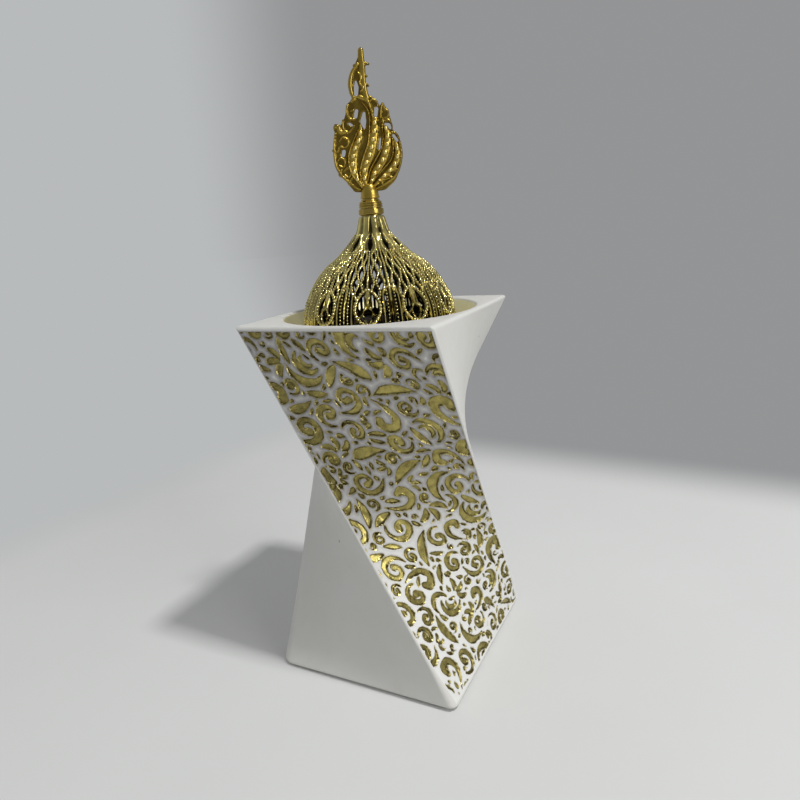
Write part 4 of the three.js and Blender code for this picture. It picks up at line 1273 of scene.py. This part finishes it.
# knots, half width in mm, and how thick it is there on each side of the flame's middle, in mm
WIRES = [
    # the raised left edge of each rib, which the colour paints bright as a highlight
    ([(-0.11, 0.44), (-0.19, 0.365), (-0.26, 0.289), (-0.279, 0.211), (-0.235, 0.123),
      (-0.115, 0.031)], 0.4, 1.75),
    ([(-0.024, 0.623), (0.05, 0.565), (0.062, 0.487), (0.02, 0.343), (-0.072, 0.235),
      (-0.125, 0.135), (-0.08, 0.029)], 0.42, 1.8),
    ([(0.235, 0.47), (0.242, 0.38), (0.205, 0.298), (0.118, 0.225), (0.025, 0.15),
      (-0.035, 0.043)], 0.4, 1.75),
    ([(0.37, 0.38), (0.38, 0.29), (0.338, 0.215), (0.226, 0.156), (0.083, 0.08),
      (0.0, 0.034)], 0.38, 1.6),
    # right edge, its arcs and its lobe
    ([(0.479, 0.335), (0.497, 0.25), (0.454, 0.16), (0.379, 0.095), (0.239, 0.047),
      (0.11, 0.016)], 0.6, 1.35),
    ([(0.225, 0.489), (0.323, 0.495), (0.372, 0.465), (0.378, 0.425)], 0.42, 1.3),
    ([(0.35, 0.4), (0.411, 0.405), (0.46, 0.374), (0.479, 0.33)], 0.45, 1.3),
    ([(0.227, 0.515), (0.232, 0.565), (0.262, 0.612), (0.285, 0.575), (0.33, 0.562),
      (0.325, 0.52), (0.25, 0.507)], 0.5, 1.35),
    ([(0.078, 0.585), (0.069, 0.618), (0.12, 0.645), (0.18, 0.625), (0.185, 0.59),
      (0.14, 0.58)], 0.5, 1.45),
    # left side, from the neck down to the foot
    ([(-0.24, 0.616), (-0.258, 0.563), (-0.208, 0.518), (-0.15, 0.529), (-0.142, 0.575),
      (-0.2, 0.575)], 0.5, 1.35),
    ([(-0.324, 0.516), (-0.321, 0.454), (-0.253, 0.429), (-0.174, 0.469)], 0.5, 1.3),
    ([(-0.445, 0.472), (-0.40, 0.478), (-0.375, 0.44), (-0.31, 0.43)], 0.85, 1.4),
    ([(-0.395, 0.371), (-0.346, 0.398), (-0.277, 0.383), (-0.269, 0.347), (-0.318, 0.325),
      (-0.389, 0.335)], 0.45, 1.4),
    ([(-0.445, 0.43), (-0.47, 0.35), (-0.48, 0.265), (-0.46, 0.19), (-0.39, 0.125),
      (-0.276, 0.067), (-0.137, 0.016)], 0.55, 1.3),
    ([(-0.44, 0.235), (-0.388, 0.258), (-0.335, 0.227), (-0.362, 0.187), (-0.42, 0.2)], 0.45, 1.35),
    ([(-0.362, 0.16), (-0.299, 0.183), (-0.255, 0.145), (-0.298, 0.111), (-0.35, 0.13)], 0.5, 1.3),
    ([(-0.26, 0.1), (-0.2, 0.12), (-0.17, 0.07)], 0.5, 1.25),
    ([(-0.5, 0.31), (-0.44, 0.3), (-0.41, 0.325)], 0.5, 1.25),
    ([(-0.4, 0.17), (-0.425, 0.135), (-0.36, 0.115)], 0.55, 1.2),
    ([(-0.28, 0.09), (-0.30, 0.068), (-0.24, 0.05)], 0.55, 1.2),
    ([(-0.25, 0.255), (-0.29, 0.225), (-0.28, 0.18)], 0.4, 1.2),
    ([(0.44, 0.21), (0.385, 0.15), (0.4, 0.125)], 0.45, 1.25),
    ([(0.416, 0.14), (0.35, 0.15), (0.3, 0.103), (0.363, 0.085)], 0.5, 1.3),
    ([(0.28, 0.083), (0.19, 0.07), (0.2, 0.034)], 0.5, 1.25),
    # crown, sickle, spine and the little teeth of the tip
    ([(-0.18, 0.64), (-0.123, 0.67), (-0.038, 0.663), (0.03, 0.64), (0.085, 0.6)], 0.75, 1.4),
    ([(-0.062, 0.887), (-0.142, 0.836), (-0.18, 0.775), (-0.178, 0.716), (-0.14, 0.654)],
     0.85, 1.4),
    ([(-0.004, 0.978), (-0.006, 0.93), (0, 0.87), (-0.004, 0.8), (0.01, 0.725), (0.033, 0.66)],
     1.35, 1.3),
    ([(-0.066, 0.835), (-0.02, 0.8), (-0.05, 0.76), (0.0, 0.73), (-0.046, 0.698)], 0.42, 1.5),
    ([(0.0, 0.893), (0.095, 0.885)], 0.45, 1.1),
    ([(0.0, 0.9), (-0.115, 0.882)], 0.45, 1.1),
    ([(0.01, 0.82), (0.06, 0.805)], 0.45, 1.1),
    ([(0.02, 0.76), (0.075, 0.74)], 0.45, 1.1),
]
# knots and half widths again
FLAME_HOLES = [
    ([(-0.013, 0.555), (-0.03, 0.5), (-0.02, 0.455)], [0.6, 1.25, 0.5]),
    ([(-0.1, 0.775), (-0.1, 0.735), (-0.108, 0.69)], [0.4, 1.0, 0.85]),
    ([(-0.118, 0.575), (-0.135, 0.536)], [0.75, 0.75]),
    ([(0.167, 0.578), (0.155, 0.534)], [0.85, 0.7]),
    ([(0.285, 0.468), (0.33, 0.462), (0.352, 0.438)], [0.5, 0.75, 0.5]),
    ([(0.394, 0.385), (0.44, 0.35)], [0.6, 0.6]),
    ([(0.2, 0.37), (0.178, 0.3)], [0.4, 0.4]),
    ([(-0.34, 0.298), (-0.352, 0.275)], [0.8, 0.8]),
    ([(-0.23, 0.49), (-0.2, 0.478)], [0.5, 0.5]),
]
print(len(RIBS), "ribs,", len(WIRES), "wires and", len(FLAME_HOLES), "openings")

# %% [markdown]
# As on the dome, each place needs two numbers, here the distance to the edge of the metal and the
# thickness. The outline is a closed line, the ribs and wires add metal, and the openings take away.

# %% Inside or outside the outline
def outline_distance(x, y, corners):
    """Distance to a closed outline, below 0 inside it. A place is inside if a level line from it
    crosses the outline an odd number of times."""
    away, _ = stroke_field(x, y, np.concatenate([corners, corners[:1]]), 0.0, reach=60)
    first, second = corners[..., None, None], np.roll(corners, -1, 0)[..., None, None]
    spans = (first[:, 1] > y) != (second[:, 1] > y)
    rise = np.where(second[:, 1] == first[:, 1], 1, second[:, 1] - first[:, 1])
    crosses = x < first[:, 0] + (y - first[:, 1]) / rise * (second[:, 0] - first[:, 0])
    return np.where((spans & crosses).sum(0) % 2 == 1, -away, away)


OUTLINE_STEPS = 4
closed = FLAME_OUTLINE[-1:] + FLAME_OUTLINE + FLAME_OUTLINE[:2]
flame_outline = smooth_line(closed, len(closed) * OUTLINE_STEPS)
flame_outline = flame_outline[OUTLINE_STEPS:-2 * OUTLINE_STEPS] * FLAME_SIZE
print("the smoothed outline has", len(flame_outline), "points")


# %% The thickness of the flame
def flame_fields(x, y):
    """Two numbers for each place: the distance to the edge of the metal, below 0 inside, and half
    the casting's thickness. A wire of half width w is sqrt(1 - (d/w)^2) across, a rib is flatter
    and has beads, and the thickest one wins."""
    edge_all = outline_distance(x, y, flame_outline)
    thick = np.full(x.shape, PLATE)
    for knots, widths in RIBS:
        line = smooth_line(knots, 40) * FLAME_SIZE
        edge, run = stroke_field(x, y, line, along(widths, 40), reach=1.2)
        half_width = np.interp(run, length_run(line), along(widths, 40))
        away = edge + half_width
        run_off = ((run / RIB_BEAD_PITCH + 0.3) % 1 - 0.5) * RIB_BEAD_PITCH
        round_off = (away ** 2 + run_off ** 2) / RIB_BEAD_SIZE ** 2
        bead = np.sqrt(np.clip(1 - round_off, 0, 1)) * (half_width > RIB_BEAD_FROM)
        rib = PLATE + RIB_RISE * half_round(away / half_width) + RIB_BEAD_RISE * bead
        thick = np.maximum(thick, (edge < 0) * rib)
    for knots, half_width, top in WIRES:
        line = smooth_line(knots, 20) * FLAME_SIZE
        widths = along([WIRE_END * half_width, half_width, WIRE_END * half_width], 20)
        edge, _ = stroke_field(x, y, line, widths, reach=1.2)
        plump = half_round((edge + half_width) / half_width)
        edge_all = np.minimum(edge_all, edge)
        thick = np.maximum(thick, (edge < 0) * (PLATE + (top - PLATE) * plump))
    for knots, widths in FLAME_HOLES:
        line = smooth_line(knots, 12) * FLAME_SIZE
        edge_all = np.maximum(edge_all, -stroke_field(x, y, line, along(widths, 12))[0])
    return edge_all, thick


def flame_edge(x, y):
    """The first of the flame's two numbers, the distance to the metal's edge."""
    return flame_fields(x, y)[0]


print("on the spine near the tip, distance and half thickness are", *np.round(
    [value[0, 0] for value in flame_fields(np.array([[0.0]]), np.array([[48.0]]))], 2))

# %% [markdown]
# Front and back are alike, so both sheets of the shell come from one function with another sign.
# The flame leans a little and is turned to face the camera. Its round stem is a turned part, set
# into the foot of the plate.

# %% The flame casting
# the grid is a little larger than the flame, and points just outside an edge are still metal
FLAME_STEP, FLAME_SLACK = 0.22, 0.03
x, y = np.meshgrid(np.arange(-15.4, 15.41, FLAME_STEP), np.arange(-1.5, 54.6, FLAME_STEP))
for _ in range(2):
    x, y = follow_edges(x, y, flame_edge, (0.0,), reach=0.14, probe=(0.05, 0.05))
edge, thick = flame_fields(x, y)
relief = thick - PLATE
thick = thick * (THIN_EDGE + (1 - THIN_EDGE) * ease(edge, 0.0, -THIN_REACH))
leaned = x + FLAME_LEAN * (y + LEAN_BELOW)


def flame_sheet(side):
    """The flame's front or back: (x, side x thickness, z) turned about the vertical axis."""
    return turn_about_z(leaned, side * thick, np.minimum(FLAME_Z + y, FLAME_TOP), FLAME_TURN)


def soften_profile(corners, reach, closed=False):
    """A profile whose corners are rounded by `reach`, each given once. A reach of 0 stays sharp."""
    corners = np.asarray(corners, float)
    reach = np.broadcast_to(reach, len(corners))
    parts = []
    for index in range(len(corners)):
        edge = not closed and index in (0, len(corners) - 1)
        if edge or reach[index] == 0:
            parts.append(corners[index:index + 1])
        else:
            parts.append(round_corner(corners[index - 1], corners[index],
                                      corners[(index + 1) % len(corners)], reach[index]))
    return np.concatenate(parts)


points, faces, used = pierced_shell(flame_sheet(-1), flame_sheet(1), edge < FLAME_SLACK, False)
relief = np.tile(relief.ravel(), 2)[used]
stem = skin_rings(turn_profile(soften_profile(
    [[0.01, 206.2], [4.1, 206.2], [3.7, 207.7], [3.65, 209.3], [2.9, 211.2], [0.01, 214.0]],
    [0, 0.4, 0.5, 0.6, 0.9, 0])[1:-1], full_turn(48)))
flame = make_piece("flame_casting", *join((points, faces), stem), sharp=50,
                   values={"relief": np.concatenate([relief, np.full(len(stem[0]), 0.6)])})
# painted shade in the flame's hollows and a painted highlight on its ribs, wires and beads
flame.data.materials.append(plated_gold(
    "flame_gold", high=(0.56, 0.40, 0.08), low=(0.19, 0.125, 0.02), highlight_colour=(0.88, 0.72, 0.26),
    shine=(0.24, 0.38), waviness=0.08, top=0.85))
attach(flame, "lid")
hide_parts("flame_finial")

# %% [markdown]
# Collar and ferrule are turned parts, so each is one closed profile carried round the axis. The
# collar is a plain ring with soft edges, and the ferrule has two grooves and a sloping shoulder
# that leads up to the flame's stem. Their metal shows the fine lines that a lathe leaves. Those are
# too fine to model, so they are noise that is the same all round the axis.

# %% Collar and ferrule
def turned_ring(name, corners, reach, columns):
    """A turned part with a bore: its closed profile, corners softened, goes once round."""
    rings = turn_profile(soften_profile(corners, reach, closed=True), full_turn(columns))
    return make_piece(name, *skin_rings(rings, wrap_rows=True))


# each profile as [radius, height] in mm, then the rounding of each of its corners
collar = turned_ring("collar", [
    [1.8, 199.35], [4.5, 199.35], [4.5, 199.6], [4.9, 199.6], [5.3, 200.0], [5.3, 201.8],
    [4.9, 202.2], [4.4, 202.2], [4.4, 202.45], [1.8, 202.45]],
    [0, 0, 0, 0.15, 0.15, 0.15, 0.15, 0, 0, 0], 96)
ferrule = turned_ring("ferrule", [
    [1.8, 202.5], [4.95, 202.5], [5.05, 202.7], [5.05, 203.0], [4.65, 203.15], [4.65, 203.35],
    [5.05, 203.5], [5.05, 203.9], [4.6, 204.05], [4.6, 204.2], [4.8, 204.35], [4.7, 204.75],
    [3.95, 205.4], [3.75, 205.9], [3.2, 205.9], [3.2, 206.15], [1.8, 206.15]],
    [0] + [0.08] * 10 + [0.2, 0.25, 0.15, 0, 0, 0], 96)


def turned_gold(name, colour, dark, rough):
    """Turned, plated metal: fine lines round the axis, which come from noise read at
    (radius, height), over a slow change of tone."""
    material, tree, surface, place = start_material(name)
    split = node(tree, "SeparateXYZ", Vector=place)
    flat = node(tree, "CombineXYZ", X=split.outputs["X"], Y=split.outputs["Y"])
    radius = node(tree, "VectorMath", {"operation": "LENGTH"}, Vector=flat.outputs[0])
    lines = node(tree, "CombineXYZ", X=radius.outputs["Value"], Y=split.outputs["Z"])
    turned = noise(tree, lines.outputs[0], 2600, 2)
    tone = noise(tree, place, 90, 4)
    connect(tree, surface, Base_Color=blend(tree, remap(tree, tone, 0.35, 0.7), colour, dark),
            Metallic=1.0, Roughness=remap(tree, turned, 0.3, 0.7, rough - 0.06, rough + 0.08),
            Normal=bump(tree, turned, 0.012, 0.6))
    return material


finial_gold = turned_gold("turned_gold", (0.52, 0.39, 0.10), (0.30, 0.21, 0.05), 0.17)
for piece, name in ((collar, "collar_ring"), (ferrule, "finial_ferrule")):
    piece.data.materials.append(finial_gold)
    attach(piece, "lid")
    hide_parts(name)

# %% [markdown]
# The tray is spun from thin sheet: a flat ring that the dome stands on, a flaring wall and a
# small rolled lip. The cup that hangs in it is spun too. A Solidify modifier could thicken a
# single line, but a closed profile shows the wall's true section, lip and flange included. Both
# pieces are half hidden while the dome is on, and show once it is lifted.

# %% Tray and cup
tray = turned_ring("spun_tray", [
    [26.7, 151.9], [38.4, 151.9], [41.7, 158.9], [41.7, 159.3], [40.9, 159.3], [40.7, 158.9],
    [37.6, 152.7], [26.7, 152.7]], [0.2, 0.6, 0.1, 0.2, 0.2, 0.1, 0.9, 0.2], 144)
tray.data.materials.append(turned_gold("tray_gold", (0.93, 0.87, 0.55), (0.84, 0.77, 0.46), 0.44))
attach(tray, "body")
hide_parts("well_tray")

cup_profile = soften_profile(
    [[0.01, 127.0], [26.4, 127.0], [26.4, 153.0], [29.6, 153.0], [29.6, 154.0], [25.4, 154.0],
     [25.4, 128.0], [0.01, 128.0]], [0, 3, 0.2, 0.2, 0.2, 0.5, 2, 0])[1:-1]
cup = make_piece("spun_cup", *skin_rings(turn_profile(cup_profile, full_turn(120))))
cup.data.materials.append(turned_gold("cup_steel", (0.27, 0.245, 0.215), (0.13, 0.115, 0.10), 0.42))
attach(cup, "cup")
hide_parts("charcoal_cup")

# %% [markdown]
# The screw, its washer and its nut sit inside the dome's neck. A thread is a round bar whose
# radius rises and falls with the height and with the angle, once per turn and pitch, which
# makes the groove climb as it goes round. An add-on could make one, but the formula is one line.

# %% Stud, washer and nut
STUD_COLUMNS, STEPS_A_PITCH, PLAIN_END = 48, 9, 0.2
NUT_COLUMNS, NUT_CHAMFER, NUT_CIRCLE = 96, 0.28, 1.02


def threaded_rod(radius, bottom, top, pitch, depth):
    """Rings of a screw: radius - depth |2 frac(z/pitch - angle/2pi) - 1|, with plain ends."""
    z = np.linspace(bottom, top, int((top - bottom) / pitch * STEPS_A_PITCH))[:, None]
    angle = full_turn(STUD_COLUMNS)
    share = (z / pitch - angle / (2 * np.pi)) % 1
    r = radius - depth * np.abs(2 * share - 1)
    r = np.where((z < bottom + PLAIN_END) | (z > top - PLAIN_END), radius - depth, r)
    return polar(r, angle, z)


def hex_nut(bottom, height, flats, bore):
    """A nut: the outline's radius at angle a is (flats/2) / cos(a mod 60 - 30), held to a circle
    of NUT_CIRCLE x flats/2 at both ends, where the corners are turned off."""
    angle, top = full_turn(NUT_COLUMNS), bottom + height
    hexagon = flats / 2 / np.cos(angle % (np.pi / 3) - np.pi / 6)
    chamfer = np.minimum(hexagon, flats / 2 * NUT_CIRCLE)
    rows = [(bore, bottom), (chamfer, bottom), (hexagon, bottom + NUT_CHAMFER),
            (hexagon, top - NUT_CHAMFER), (chamfer, top), (bore, top)]
    return np.stack([polar(r, angle, z) for r, z in rows])


rod = threaded_rod(radius=1.5, bottom=189.8, top=210.7, pitch=0.5, depth=0.27)
stud = make_piece("stud", *skin_rings(rod), sharp=60)
washer = turned_ring("washer", [[1.8, 193.5], [3.5, 193.5], [3.5, 194.0], [1.8, 194.0]], 0.08, 64)
rings = hex_nut(bottom=190.8, height=2.4, flats=5.5, bore=1.8)
nut = make_piece("nut", *skin_rings(rings, wrap_rows=True), sharp=30)
zinc = turned_gold("zinc_plate", (0.62, 0.62, 0.60), (0.50, 0.50, 0.49), 0.3)
for piece, name in ((stud, "finial_stud"), (washer, "finial_washer"), (nut, "finial_nut")):
    piece.data.materials.append(zinc)
    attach(piece, "lid")
    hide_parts(name)

# %% [markdown]
# Underneath, a board closes the hollow of the casting and a felt pad keeps the table from being
# scratched. Both are flat, so the measured pieces stay as they are and get a finish: pressed
# wood fibre for the board, and matted wool for the felt. Hairs would be thousands of curves on a
# face that hardly shows, so a fine bump and a sheen at low angles stand for the fuzz.

# %% Board and felt
board, tree, surface, place = start_material("pressed_board")
fibres = noise(tree, place, 700, 5, 0.7)
flecks = remap(tree, noise(tree, place, 1800, 2), 0.6, 0.75)
tone = blend(tree, remap(tree, fibres, 0.3, 0.7), (0.24, 0.15, 0.085), (0.40, 0.27, 0.16))
connect(tree, surface, Base_Color=blend(tree, flecks, tone, (0.52, 0.38, 0.24)),
        Roughness=remap(tree, fibres, 0.3, 0.7, 0.7, 0.9), Normal=bump(tree, fibres, 0.12, 0.8))
felt, tree, surface, place = start_material("wool_felt")
wool = noise(tree, place, 1300, 5, 0.75)
mats = noise(tree, place, 160, 4)
tone = blend(tree, remap(tree, wool, 0.3, 0.7), (0.02, 0.02, 0.022), (0.075, 0.075, 0.08))
connect(tree, surface, Base_Color=blend(tree, remap(tree, mats, 0.45, 0.75, 0, 0.5), tone,
                                        (0.05, 0.05, 0.055)),
        Roughness=0.95, Sheen_Weight=0.4, Normal=bump(tree, wool, 0.3, 1.0))
for name, material in (("base_board", board), ("felt_pad", felt)):
    nodes[name].data.materials.clear()
    nodes[name].data.materials.append(material)
print("board and felt are finished")
